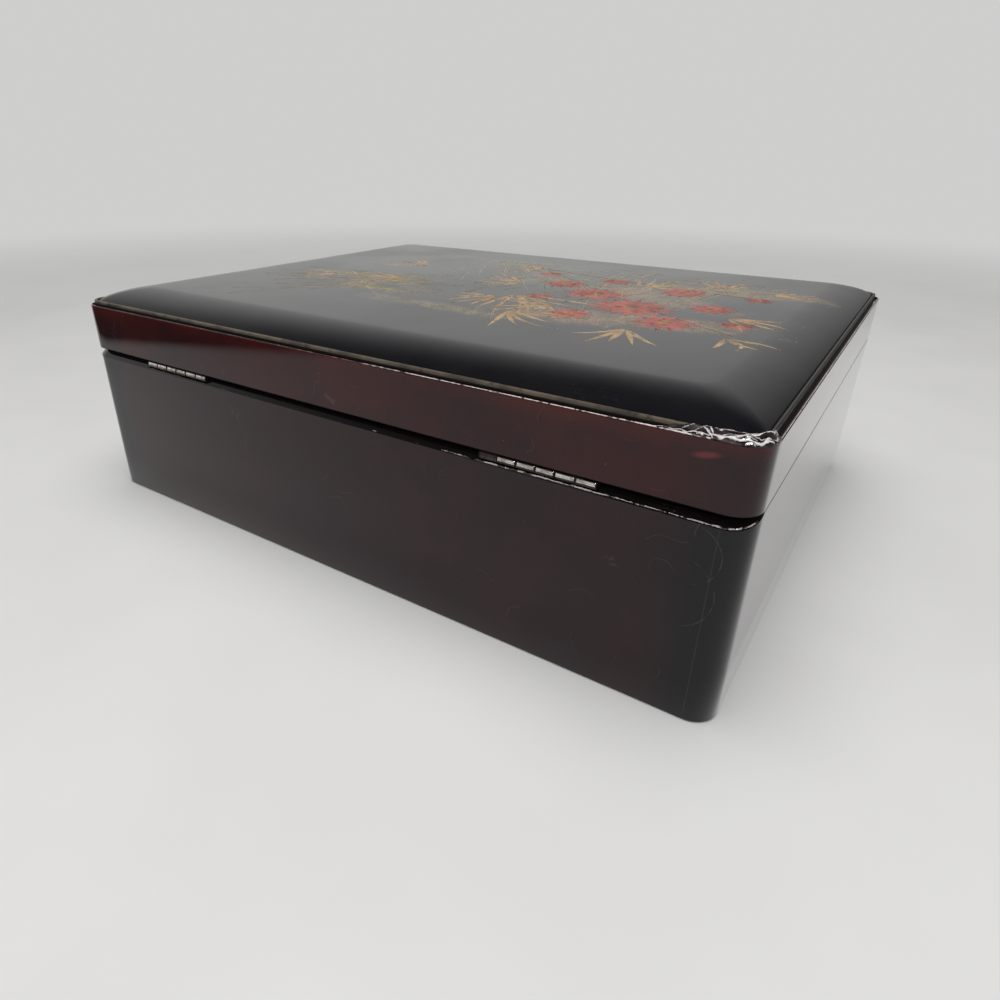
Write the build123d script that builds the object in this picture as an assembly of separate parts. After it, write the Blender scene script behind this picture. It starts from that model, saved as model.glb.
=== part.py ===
"""Lacquered games case: a base with two front drawers under an open well, and a crowned, hinged lid.

Millimetres. +Z is up, the drawers face -Y, the hinges are along +Y.
The origin is the centre of the underside.
"""
import os

from build123d import *

# ---- driving dimensions -------------------------------------------------------------------------
case_width = 384.0          # X, over the lacquer
case_depth = 306.0          # Y, over the lacquer
base_height = 89.6          # underside to the lid seam
skirt_height = 25.4         # seam to the sharp upper edge of the lid's skirt
corner_radius = 10.7        # upright corners
wall = 10.0                 # boards of the base and of the skirt

bevel = 5.0                 # bevel along the base's back upper edge

bottom_thickness = 5.0
deck_underside = 47.0
deck_thickness = 5.0
felt_thickness = 1.0

rail_lower_top = 6.0        # lower edge of the drawer openings
rail_upper_bottom = 45.0    # upper edge of the drawer openings
stile_width = 10.0          # between the drawer openings
opening_outer = 178.0       # outer edge of each opening, from the centre line
partition_thickness = 8.0
guide_height = 14.0
runner_height = 1.0
runner_width = 6.0

drawer_gap = 0.5            # round the drawer fronts
drawer_front_thickness = 9.0
drawer_board = 5.0
drawer_side_top = 42.0
drawer_bottom_thickness = 3.0
drawer_floor_rise = 0.5     # the sides reach this far below the drawer's bottom
drawer_stop_gap = 0.3       # behind the closed drawer, before the back board
drawer_lift = 0.3           # running gap over the runners
drawer_side_gap = 0.6       # running gap beside the drawer

divider_thickness = 5.0
divider_height = 29.0
long_divider_x = -62.0
left_divider_y = 22.0
right_divider_y = -48.0

groove_start = 0.8          # flat arris along the top of the skirt
groove_end = 2.4            # the groove between the skirt and the bead
groove_depth = 1.4
rebate_depth = 2.2          # seat for the crown and its bead
bead_width = 1.5
bead_round = 0.6            # rounding of the bead's two upper edges
bead_rise = 2.4             # top of the bead over the skirt's upper edge
crown_foot_rise = 0.8       # foot of the crown over the skirt's upper edge
pillow_rise = 8.1           # height of the rounded border of the crown
pillow_width = 24.0
pillow_power = 1.56         # exponent of the border's rounded profile
dome_rise = 0.8             # extra height of the middle of the lid
dome_width = 90.0
crown_corner_radius = 7.5

hinge_length = 50.8
hinge_inner = 86.0          # nearer end of each hinge, from the centre line
knuckle_count = 6
knuckle_gap = 0.25
knuckle_radius = 2.0
hinge_pin_radius = 1.0
pin_grip = 0.02             # the base knuckles grip the pin by this much
pin_play = 0.05             # the lid's knuckles turn on the pin with this much play
axis_drop = 2.2             # hinge axis below the seam
axis_inset = 2.2            # hinge axis in from the back face
leaf_thickness = 0.9
leaf_gap = 0.2              # seam down to the base leaf
leaf_reach = 9.6            # back face to the leaf's inner edge, short of the board's inner face
knuckle_clearance = 0.3     # round the turning knuckles
hinge_end_gap = 0.6         # notch past each end of the hinge
screw_head_radius = 1.5
screw_shank_radius = 0.8
screw_length = 8.0
screw_grip = 0.05
screw_spacing = 17.0

ring_radius = 9.5           # of the ring's centre line
ring_wire = 0.95
ring_hole_radius = 1.45
ring_stand_off = 3.4        # ring axis out from the pull plate
pull_plate_radius = 10.0
pull_plate_thickness = 1.2
pull_post_radius = 2.3
pull_tail_radius = 1.5
pull_nut_size = 5.5
pull_nut_thickness = 2.0
pull_rise = 5.0             # ring axis above the middle of the drawer front

# ---- worked out from them -----------------------------------------------------------------------
half_width = case_width / 2
half_depth = case_depth / 2
skirt_top = base_height + skirt_height
inner_half_width = half_width - wall
inner_half_depth = half_depth - wall
front_inner_y = -inner_half_depth
rebate_floor = skirt_top - rebate_depth
bead_start = groove_end
bead_end = bead_start + bead_width
deck_top = deck_underside + deck_thickness
felt_top = deck_top + felt_thickness
axis_y = half_depth - axis_inset
axis_z = base_height - axis_drop
knuckle_pitch = hinge_length / knuckle_count
knuckle_pocket = knuckle_radius + knuckle_clearance
leaf_inner_y = half_depth - leaf_reach
leaf_root_y = axis_y - knuckle_pocket
lid_leaf_bottom = base_height - leaf_gap / 2
base_leaf_top = base_height - leaf_gap
base_leaf_bottom = base_leaf_top - leaf_thickness
lid_leaf_top = lid_leaf_bottom + leaf_thickness
screw_y = (leaf_inner_y + leaf_root_y) / 2
opening_inner = stile_width / 2
drawer_front_back = -half_depth + drawer_front_thickness
drawer_underside = rail_lower_top + drawer_lift
drawer_inner_x = opening_inner + drawer_gap
drawer_outer_x = opening_outer - drawer_gap
drawer_tail = inner_half_depth - drawer_stop_gap
drawer_floor = drawer_underside + drawer_floor_rise
drawer_floor_top = drawer_floor + drawer_bottom_thickness
pull_x = (opening_inner + opening_outer) / 2
pull_axis_z = (rail_lower_top + rail_upper_bottom) / 2 + pull_rise
pull_face_y = -half_depth
pull_axis_y = pull_face_y - pull_plate_thickness - ring_stand_off


def block(x, y, z):
    """A rectangular solid between two limits along each axis."""
    size = (x[1] - x[0], y[1] - y[0], z[1] - z[0])
    middle = ((x[0] + x[1]) / 2, (y[0] + y[1]) / 2, (z[0] + z[1]) / 2)
    return Pos(*middle) * Box(*size)


def rod(radius, length, centre, direction):
    """A round bar of a given length about its centre."""
    return Plane(origin=centre, z_dir=direction) * Cylinder(radius, length)


def outline(inset, height, least_radius=1.0):
    """The case's rounded rectangle, drawn in by an inset, at a height."""
    width = case_width - 2 * inset
    depth = case_depth - 2 * inset
    radius = max(corner_radius - inset, least_radius)
    return Plane.XY.offset(height) * RectangleRounded(width, depth, radius)


def slab(inset, low, high):
    """The rounded outline as a solid between two heights."""
    return extrude(outline(inset, low), high - low)


def wall_ring(low, high):
    """Four walls in one: the outer outline less the rectangular inside."""
    inside = block(
        (-inner_half_width, inner_half_width),
        (-inner_half_depth, inner_half_depth),
        (low - 1, high + 1),
    )
    return slab(0, low, high) - inside


def mitre_region(side, low, high):
    """The part of the plan that one board takes, bounded by 45 degree mitres at the corners."""
    w = half_width + 1
    d = half_depth + 1
    core_x = w - 2 * wall
    core_y = d - 2 * wall
    corners = {
        "back": [(-w, d), (w, d), (core_x, core_y), (-core_x, core_y)],
        "front": [(-w, -d), (w, -d), (core_x, -core_y), (-core_x, -core_y)],
        "left": [(-w, -d), (-w, d), (-core_x, core_y), (-core_x, -core_y)],
        "right": [(w, -d), (w, d), (core_x, core_y), (core_x, -core_y)],
    }
    face = make_face(Polyline(*corners[side], close=True))
    return extrude(Plane.XY.offset(low) * face, high - low)


def wall_board(side, low, high):
    """One mitred board of the four walls."""
    return wall_ring(low, high) & mitre_region(side, low, high)


def hinge_span(side):
    """Left and right ends of a hinge; side is -1 or 1."""
    ends = (side * hinge_inner, side * (hinge_inner + hinge_length))
    return min(ends), max(ends)


def screw_places(side):
    """Middles of a leaf's screws along X."""
    low, high = hinge_span(side)
    middle = (low + high) / 2
    return [middle + step * screw_spacing for step in (-1, 0, 1)]


# ---- the base -----------------------------------------------------------------------------------
def make_bottom_board():
    return block(
        (-inner_half_width, inner_half_width),
        (-inner_half_depth, inner_half_depth),
        (0, bottom_thickness),
    )


def make_back_board():
    """The back wall, with its long bevel, the knuckle pockets, the leaf mortises and pilot holes."""
    board = wall_board("back", 0, base_height)
    profile = Polyline(
        (half_depth - bevel, base_height),
        (half_depth, base_height - bevel),
        (half_depth + 1, base_height - bevel),
        (half_depth + 1, base_height + 1),
        (half_depth - bevel, base_height + 1),
        close=True,
    )
    board -= extrude(Plane.YZ * make_face(profile), half_width + 1, both=True)
    for side in (-1, 1):
        low, high = hinge_span(side)
        ends = (low - hinge_end_gap, high + hinge_end_gap)
        board -= block(ends, (leaf_root_y, half_depth + 1), (axis_z - knuckle_pocket, base_height + 1))
        board -= block((low, high), (leaf_inner_y, half_depth), (base_leaf_bottom, base_height + 1))
        for x in screw_places(side):
            board -= screw_hole(x, base_leaf_top, 0)
    return board


def make_side_board(side):
    return wall_board(side, 0, base_height)


def front_piece(x, z):
    """A piece of the front wall between limits in X and Z."""
    return wall_board("front", z[0], z[1]) & block(x, (-half_depth - 1, front_inner_y), z)


def make_front_upper_rail():
    return wall_board("front", rail_upper_bottom, base_height)


def make_front_lower_rail():
    return wall_board("front", 0, rail_lower_top)


def make_front_centre_stile():
    return front_piece((-opening_inner, opening_inner), (rail_lower_top, rail_upper_bottom))


def make_front_end_stile(side):
    """The upright between a drawer opening and the rounded corner."""
    reach = (opening_outer, half_width + 1)
    limits = reach if side > 0 else (-reach[1], -reach[0])
    return wall_board("front", rail_lower_top, rail_upper_bottom) & block(
        limits, (-half_depth - 1, half_depth), (rail_lower_top, rail_upper_bottom)
    )


def make_drawer_deck():
    return block(
        (-inner_half_width, inner_half_width),
        (-inner_half_depth, inner_half_depth),
        (deck_underside, deck_top),
    )


def make_centre_partition():
    return block(
        (-partition_thickness / 2, partition_thickness / 2),
        (-inner_half_depth, inner_half_depth),
        (bottom_thickness, deck_underside),
    )


def make_drawer_guides():
    """Strips that keep the drawers off the side boards."""
    guides = []
    for side in (-1, 1):
        x = sorted((side * opening_outer, side * inner_half_width))
        guides.append(
            block(x, (-inner_half_depth, inner_half_depth),
                  (bottom_thickness, bottom_thickness + guide_height))
        )
    return Compound(children=guides)


def make_drawer_runners():
    """Waxed strips on the bottom board, one under each drawer side."""
    runners = []
    for side in (-1, 1):
        for near in (drawer_inner_x, drawer_outer_x - runner_width):
            x = sorted((side * near, side * (near + runner_width)))
            runners.append(
                block(x, (-inner_half_depth, inner_half_depth),
                      (bottom_thickness, bottom_thickness + runner_height))
            )
    return Compound(children=runners)


def make_well_divider_long():
    """The divider that runs from front to back of the well."""
    return block(
        (long_divider_x - divider_thickness / 2, long_divider_x + divider_thickness / 2),
        (-inner_half_depth, inner_half_depth),
        (felt_top, felt_top + divider_height),
    )


def make_well_divider(x, y):
    """A cross divider between the long one and a side board."""
    return block(
        x,
        (y - divider_thickness / 2, y + divider_thickness / 2),
        (felt_top, felt_top + divider_height),
    )


def make_well_felt():
    return block(
        (-inner_half_width, inner_half_width),
        (-inner_half_depth, inner_half_depth),
        (deck_top, felt_top),
    )


# ---- the hinges ---------------------------------------------------------------------------------
def screw_shape(x, top, upward):
    """A countersunk screw whose flat head is at top; it points down, or up when upward is 1."""
    head = Plane(origin=(x, screw_y, 0)) * Cone(
        screw_shank_radius, screw_head_radius, leaf_thickness,
        align=(Align.CENTER, Align.CENTER, Align.MAX),
    )
    shank = Pos(x, screw_y, 0) * Cylinder(
        screw_shank_radius, screw_length, align=(Align.CENTER, Align.CENTER, Align.MAX)
    )
    screw = head + shank
    if upward:
        screw = screw.mirror(Plane.XY)
    return Pos(0, 0, top) * screw


def screw_hole(x, top, upward):
    """The pilot hole of a screw, a little tighter than its shank."""
    hole = Pos(x, screw_y, 0) * Cylinder(
        screw_shank_radius - screw_grip, screw_length, align=(Align.CENTER, Align.CENTER, Align.MAX)
    )
    if upward:
        hole = hole.mirror(Plane.XY)
    return Pos(0, 0, top) * hole


def make_leaf(side, on_lid):
    """A flat leaf with every second knuckle; the lid's leaf is cranked down to its knuckles."""
    low, _ = hinge_span(side)
    bottom = lid_leaf_bottom if on_lid else base_leaf_bottom
    top = bottom + leaf_thickness
    hole_radius = hinge_pin_radius + (pin_play if on_lid else -pin_grip)
    leaf = block((low, low + hinge_length), (leaf_inner_y, leaf_root_y), (bottom, top))
    for index in range(knuckle_count):
        if (index % 2 == 1) != on_lid:
            continue
        start = low + index * knuckle_pitch + knuckle_gap / 2
        end = start + knuckle_pitch - knuckle_gap
        barrel = rod(knuckle_radius, end - start, ((start + end) / 2, axis_y, axis_z), (1, 0, 0))
        arm = block((start, end), (leaf_root_y, axis_y), (bottom, top))
        if on_lid:
            arm += block((start, end), (axis_y - leaf_thickness, axis_y), (base_leaf_bottom, top))
        leaf += arm + barrel
    leaf -= rod(hole_radius, hinge_length + 2, (low + hinge_length / 2, axis_y, axis_z), (1, 0, 0))
    for x in screw_places(side):
        if on_lid:
            leaf -= screw_shape(x, lid_leaf_bottom, 1)
        else:
            leaf -= screw_shape(x, base_leaf_top, 0)
    return leaf


def make_hinge_pin(side):
    low, _ = hinge_span(side)
    return rod(hinge_pin_radius, hinge_length, (low + hinge_length / 2, axis_y, axis_z), (1, 0, 0))


def make_leaf_screws(on_lid):
    """The six screws of the two base leaves, or of the two lid leaves."""
    screws = []
    for side in (-1, 1):
        for x in screw_places(side):
            if on_lid:
                screws.append(screw_shape(x, lid_leaf_bottom, 1))
            else:
                screws.append(screw_shape(x, base_leaf_top, 0))
    return Compound(children=screws)


# ---- the lid ------------------------------------------------------------------------------------
def make_lid_board(side):
    """One mitred board of the skirt, with the groove and the crown's seat along its top."""
    board = wall_board(side, base_height, skirt_top)
    board -= slab(bead_start, rebate_floor, skirt_top + 1)
    board -= slab(groove_start, skirt_top - groove_depth, skirt_top + 1)
    if side == "back":
        for hinge in (-1, 1):
            low, high = hinge_span(hinge)
            board -= block((low, high), (leaf_inner_y, half_depth - axis_inset),
                           (base_height - 1, lid_leaf_top))
            for x in screw_places(hinge):
                board -= screw_hole(x, lid_leaf_bottom, 1)
    return board


def make_crown_bead():
    """A thin round-topped moulding at the crown's foot."""
    bead = slab(bead_start, rebate_floor, skirt_top + bead_rise)
    bead -= slab(bead_end, rebate_floor - 1, skirt_top + bead_rise + 1)
    top_edges = bead.edges().filter_by_position(
        Axis.Z, skirt_top + bead_rise - 0.01, skirt_top + bead_rise + 0.01
    )
    return fillet(top_edges, bead_round)


def crown_height(share):
    """Height over the foot at a share of the border's width: a superellipse quarter."""
    return pillow_rise * (1 - (1 - share) ** pillow_power) ** (1 / pillow_power)


def crown_section(inset, height):
    """A level outline of the crown."""
    width = case_width - 2 * inset
    depth = case_depth - 2 * inset
    return Plane.XY.offset(height) * RectangleRounded(width, depth, crown_corner_radius)


def make_crown_panel():
    """The lid's panel: a flat seat, a rounded border and a very slight dome."""
    foot = skirt_top + crown_foot_rise
    shares = [0.0, 0.03, 0.1, 0.22, 0.38, 0.58, 0.8, 1.0]
    levels = [(bead_end + pillow_width * s, foot + crown_height(s)) for s in shares]
    last_inset, last_height = levels[-1]
    for t in (0.35, 1.0):
        rise = dome_rise * (1 - (1 - t) ** 2)
        levels.append((last_inset + dome_width * t, last_height + rise))
    seat = extrude(crown_section(bead_end, rebate_floor), foot - rebate_floor)
    border = loft([crown_section(inset, height) for inset, height in levels], ruled=True)
    return seat + border


def make_lid_felt():
    return block(
        (-inner_half_width, inner_half_width),
        (-inner_half_depth, inner_half_depth),
        (rebate_floor - felt_thickness, rebate_floor),
    )


# ---- the drawers --------------------------------------------------------------------------------
def drawer_x(side, near, far):
    """Limits in X of a drawer piece, mirrored for the left drawer."""
    return tuple(sorted((side * near, side * far)))


def make_drawer_front(side):
    front = block(
        drawer_x(side, drawer_inner_x, drawer_outer_x),
        (-half_depth, drawer_front_back),
        (rail_lower_top + drawer_gap, rail_upper_bottom - drawer_gap),
    )
    tail = rod(pull_tail_radius, 60, (side * pull_x, -half_depth, pull_axis_z), (0, 1, 0))
    return front - tail


def make_drawer_side(side, inner):
    if inner:
        near = drawer_inner_x + drawer_side_gap
    else:
        near = drawer_outer_x - drawer_side_gap - drawer_board
    return block(
        drawer_x(side, near, near + drawer_board),
        (drawer_front_back, drawer_tail),
        (drawer_underside, drawer_side_top),
    )


def drawer_inside(side):
    """Limits in X between a drawer's two sides."""
    return drawer_x(
        side,
        drawer_inner_x + drawer_side_gap + drawer_board,
        drawer_outer_x - drawer_side_gap - drawer_board,
    )


def make_drawer_bottom(side):
    return block(drawer_inside(side), (drawer_front_back, drawer_tail), (drawer_floor, drawer_floor_top))


def make_drawer_back(side):
    return block(
        drawer_inside(side),
        (drawer_tail - drawer_board, drawer_tail),
        (drawer_floor_top, drawer_side_top),
    )


def make_drawer_felt(side):
    return block(
        drawer_inside(side),
        (drawer_front_back, drawer_tail - drawer_board),
        (drawer_floor_top, drawer_floor_top + felt_thickness),
    )


def make_pull_plate(side):
    """A round plate with a softened rim, bored for the post's tail."""
    centre = (side * pull_x, pull_face_y - pull_plate_thickness / 2, pull_axis_z)
    plate = rod(pull_plate_radius, pull_plate_thickness, centre, (0, 1, 0))
    rim = plate.edges().filter_by_position(
        Axis.Y, pull_face_y - pull_plate_thickness - 0.01, pull_face_y - pull_plate_thickness + 0.01
    )
    plate = fillet(rim, pull_plate_thickness * 0.6)
    return plate - rod(pull_tail_radius, 10, centre, (0, 1, 0))


def make_pull_post(side):
    """The eye that carries the ring, with a tail through the drawer front."""
    x = side * pull_x
    plate_y = pull_face_y - pull_plate_thickness
    head_end = pull_axis_y - pull_post_radius
    head_length = plate_y - head_end
    head = rod(pull_post_radius, head_length, (x, plate_y - head_length / 2, pull_axis_z), (0, 1, 0))
    tail_end = drawer_front_back + pull_nut_thickness
    tail_length = tail_end - plate_y
    tail = rod(pull_tail_radius, tail_length, (x, plate_y + tail_length / 2, pull_axis_z), (0, 1, 0))
    hole = rod(ring_hole_radius, 20, (x, pull_axis_y, pull_axis_z), (1, 0, 0))
    return head + tail - hole


def make_pull_nut(side):
    centre = (side * pull_x, drawer_front_back + pull_nut_thickness / 2, pull_axis_z)
    nut = Box(pull_nut_size, pull_nut_thickness, pull_nut_size)
    return Pos(*centre) * nut - rod(pull_tail_radius, 10, centre, (0, 1, 0))


def make_pull_ring(side):
    """A plain wire ring that hangs from its eye."""
    centre = (side * pull_x, pull_axis_y, pull_axis_z - ring_radius)
    return Plane(origin=centre, z_dir=(0, 1, 0)) * Torus(ring_radius, ring_wire)


# ---- all the pieces, by name --------------------------------------------------------------------
def make_pieces():
    pieces = {
        "bottom_board": make_bottom_board(),
        "back_board": make_back_board(),
        "left_side_board": make_side_board("left"),
        "right_side_board": make_side_board("right"),
        "front_upper_rail": make_front_upper_rail(),
        "front_lower_rail": make_front_lower_rail(),
        "front_centre_stile": make_front_centre_stile(),
        "front_left_stile": make_front_end_stile(-1),
        "front_right_stile": make_front_end_stile(1),
        "drawer_deck": make_drawer_deck(),
        "centre_partition": make_centre_partition(),
        "drawer_guides": make_drawer_guides(),
        "drawer_runners": make_drawer_runners(),
        "well_long_divider": make_well_divider_long(),
        "well_left_divider": make_well_divider(
            (-inner_half_width, long_divider_x - divider_thickness / 2), left_divider_y
        ),
        "well_right_divider": make_well_divider(
            (long_divider_x + divider_thickness / 2, inner_half_width), right_divider_y
        ),
        "well_felt": make_well_felt(),
        "base_leaf_screws": make_leaf_screws(False),
        "lid_leaf_screws": make_leaf_screws(True),
        "crown_panel": make_crown_panel(),
        "crown_bead": make_crown_bead(),
        "lid_felt": make_lid_felt(),
    }
    for side in ("back", "front", "left", "right"):
        pieces["lid_" + side + "_board"] = make_lid_board(side)
    for name, side in (("left", -1), ("right", 1)):
        pieces[name + "_base_leaf"] = make_leaf(side, False)
        pieces[name + "_lid_leaf"] = make_leaf(side, True)
        pieces[name + "_hinge_pin"] = make_hinge_pin(side)
        pieces[name + "_drawer_front"] = make_drawer_front(side)
        pieces[name + "_drawer_inner_side"] = make_drawer_side(side, True)
        pieces[name + "_drawer_outer_side"] = make_drawer_side(side, False)
        pieces[name + "_drawer_back"] = make_drawer_back(side)
        pieces[name + "_drawer_bottom"] = make_drawer_bottom(side)
        pieces[name + "_drawer_felt"] = make_drawer_felt(side)
        pieces[name + "_pull_plate"] = make_pull_plate(side)
        pieces[name + "_pull_post"] = make_pull_post(side)
        pieces[name + "_pull_nut"] = make_pull_nut(side)
        pieces[name + "_pull_ring"] = make_pull_ring(side)
    return pieces


def main():
    os.makedirs("parts", exist_ok=True)
    for name, piece in make_pieces().items():
        export_step(piece, "parts/" + name + ".step")
        print(name, round(piece.volume, 1))


main()
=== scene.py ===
# %% [markdown]
# # A lacquered games case
# The finished case is built here around its construction model. The construction model already holds every
# board, hinge and drawer at its real size, so this lesson is about surfaces: lacquer that pools along
# edges, worn gilding, felt, brass and plain wood. Everything is in metres, with +Z up, the drawers
# towards -Y and the hinges towards +Y.

# %% Load the construction model
import math

import bmesh
import bpy
import numpy as np
from mathutils import Matrix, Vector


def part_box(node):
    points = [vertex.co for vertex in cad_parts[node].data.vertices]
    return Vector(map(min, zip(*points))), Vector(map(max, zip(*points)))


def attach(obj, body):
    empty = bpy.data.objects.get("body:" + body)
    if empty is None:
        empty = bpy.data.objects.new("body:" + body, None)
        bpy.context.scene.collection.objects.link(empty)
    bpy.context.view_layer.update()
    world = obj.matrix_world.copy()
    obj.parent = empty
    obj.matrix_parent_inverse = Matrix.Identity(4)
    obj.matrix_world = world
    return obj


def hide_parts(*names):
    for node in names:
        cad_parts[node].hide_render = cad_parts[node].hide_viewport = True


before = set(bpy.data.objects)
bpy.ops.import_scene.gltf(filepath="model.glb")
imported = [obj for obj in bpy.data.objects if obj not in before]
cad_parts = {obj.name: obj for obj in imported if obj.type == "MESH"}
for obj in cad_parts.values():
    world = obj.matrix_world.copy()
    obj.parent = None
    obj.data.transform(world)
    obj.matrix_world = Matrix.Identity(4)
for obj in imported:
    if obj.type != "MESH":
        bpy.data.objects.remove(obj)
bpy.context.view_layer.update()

# %% [markdown]
# ## Sizes
# A piece that stands for one of the model's boards has to lie exactly where that board is. The large sizes
# are therefore read from the model. Only the small shapes that a box can't tell, such as the radius of the
# upright corners, are written here as numbers.

# %% Sizes read from the model, and the small shapes
MM = 0.001


def box_of(node):
    """The lowest and highest corners of one of the model's pieces."""
    return tuple(np.array(corner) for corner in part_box(node))


base_low, base_high = box_of("left_side_board")
crown_low, crown_high = box_of("crown_panel")
leaf_low, leaf_high = box_of("left_base_leaf")
_, hinge_y, hinge_z = sum(box_of("left_hinge_pin")) / 2
hinge_ends = [(leaf_low[0], leaf_high[0]), (-leaf_high[0], -leaf_low[0])]

half_width = -base_low[0]
half_depth = -box_of("front_upper_rail")[0][1]
case_width = 2 * half_width
seam = base_high[2]
skirt_top = box_of("lid_left_board")[1][2]
wall = base_high[0] - base_low[0]
opening_outer = box_of("front_right_stile")[0][0]
rebate_floor = crown_low[2]

corner_radius = 10.7 * MM
bevel = 5.0 * MM
base_edge = 0.7 * MM        # small flat where the base has no bevel
pocket_half = 2.3 * MM      # from the hinge axis to the walls of its pocket
pocket_gap = 0.6 * MM       # pocket past each end of the hinge
groove_start = 0.8 * MM
groove_end = 2.4 * MM
groove_depth = 1.4 * MM
print("case", round(case_width, 4), "x", round(half_depth * 2, 4), "seam at", round(seam, 4))

# %% [markdown]
# ## Camera
# The camera stands behind the case, above one corner, and looks down at it. Its place and turn are
# given in widths of the case and in degrees, as a surveyor would note them: bearing, dip and tilt.

# %% Camera
eye = np.array([-0.5721, 0.9467, 0.5115]) * case_width
bearing = math.radians(145.41)      # clockwise from +Y, seen from above
dip = math.radians(26.36)           # below the horizon
tilt = math.radians(0.24)
focal_share = 0.6789                # focal length as a share of the frame's width
centre_share = (0.4542, 0.4874)     # the optical centre, from the frame's top left


def view_axes():
    """Unit vectors to the right, up and back of the camera, from bearing, dip and tilt."""
    forward = np.array([
        math.sin(bearing) * math.cos(dip), math.cos(bearing) * math.cos(dip), -math.sin(dip)
    ])
    right = np.cross(forward, [0, 0, 1])
    right /= np.linalg.norm(right)
    down = np.cross(forward, right)
    turned_right = math.cos(tilt) * right - math.sin(tilt) * down
    turned_down = math.sin(tilt) * right + math.cos(tilt) * down
    return turned_right, -turned_down, -forward


scene = bpy.context.scene
camera_data = bpy.data.cameras.new("camera")
camera_data.sensor_width = 36.0
camera_data.lens = camera_data.sensor_width * focal_share
camera_data.shift_x = 0.5 - centre_share[0]
camera_data.shift_y = centre_share[1] - 0.5
camera_data.clip_start = 0.01
camera = bpy.data.objects.new("camera", camera_data)
scene.collection.objects.link(camera)
scene.camera = camera
turn = Matrix(np.array(view_axes()).T.tolist()).to_4x4()
camera.matrix_world = Matrix.Translation(eye.tolist()) @ turn
print("camera at", [round(float(v), 3) for v in eye])

# %% [markdown]
# ## Helpers for materials
# Every finish below is a small network of nodes. Two classes keep the networks readable. The first adds
# nodes to any tree and fills their sockets, and the second starts a material with its shader and its place
# on the object.

# %% Node helpers
class Nodes:
    """Short calls that add nodes to a tree. A value is a plain number or colour, or another node's output."""

    def __init__(self, tree):
        self.tree = tree

    def fill(self, socket, value):
        """Links an output to a socket, or sets the socket; a colour of three numbers gets an alpha of 1."""
        if isinstance(value, bpy.types.NodeSocket):
            self.tree.links.new(value, socket)
        elif socket.type == "RGBA" and len(value) == 3:
            socket.default_value = (*value, 1.0)
        else:
            socket.default_value = value

    def add(self, kind, settings=None, **inputs):
        """Adds a node, sets its settings, and fills its inputs by name, or by number as in i0."""
        node = self.tree.nodes.new(kind)
        for key, value in (settings or {}).items():
            setattr(node, key, value)
        for key, value in inputs.items():
            numbered = key[0] == "i" and key[1:].isdigit()
            self.fill(node.inputs[int(key[1:]) if numbered else key.replace("_", " ")], value)
        return node

    def math(self, operation, *values):
        inputs = {f"i{number}": value for number, value in enumerate(values)}
        return self.add("ShaderNodeMath", {"operation": operation}, **inputs).outputs[0]

    def times(self, product, *factors):
        """The product of two or more values."""
        for factor in factors:
            product = self.math("MULTIPLY", product, factor)
        return product

    def less(self, value):
        """What is left of one: 1 - value."""
        return self.math("SUBTRACT", 1.0, value)

    def apart(self, value, other):
        """The distance between two values: |value - other|."""
        return self.math("ABSOLUTE", self.math("SUBTRACT", value, other))

    def ramp(self, value, low, high, out_low=0.0, out_high=1.0):
        """Smooth step of a value between two limits."""
        return self.add(
            "ShaderNodeMapRange", {"interpolation_type": "SMOOTHSTEP"},
            Value=value, From_Min=low, From_Max=high, To_Min=out_low, To_Max=out_high,
        ).outputs["Result"]

    def length(self, vector):
        return self.add("ShaderNodeVectorMath", {"operation": "LENGTH"}, i0=vector).outputs["Value"]


# %% Materials
def srgb(red, green, blue):
    """Linear colour of an 8-bit display colour: ((c + 0.055) / 1.055) ** 2.4 above the dark toe."""
    values = np.array([red, green, blue]) / 255.0
    linear = np.where(values > 0.04045, ((values + 0.055) / 1.055) ** 2.4, values / 12.92)
    return tuple(linear.tolist())


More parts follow.
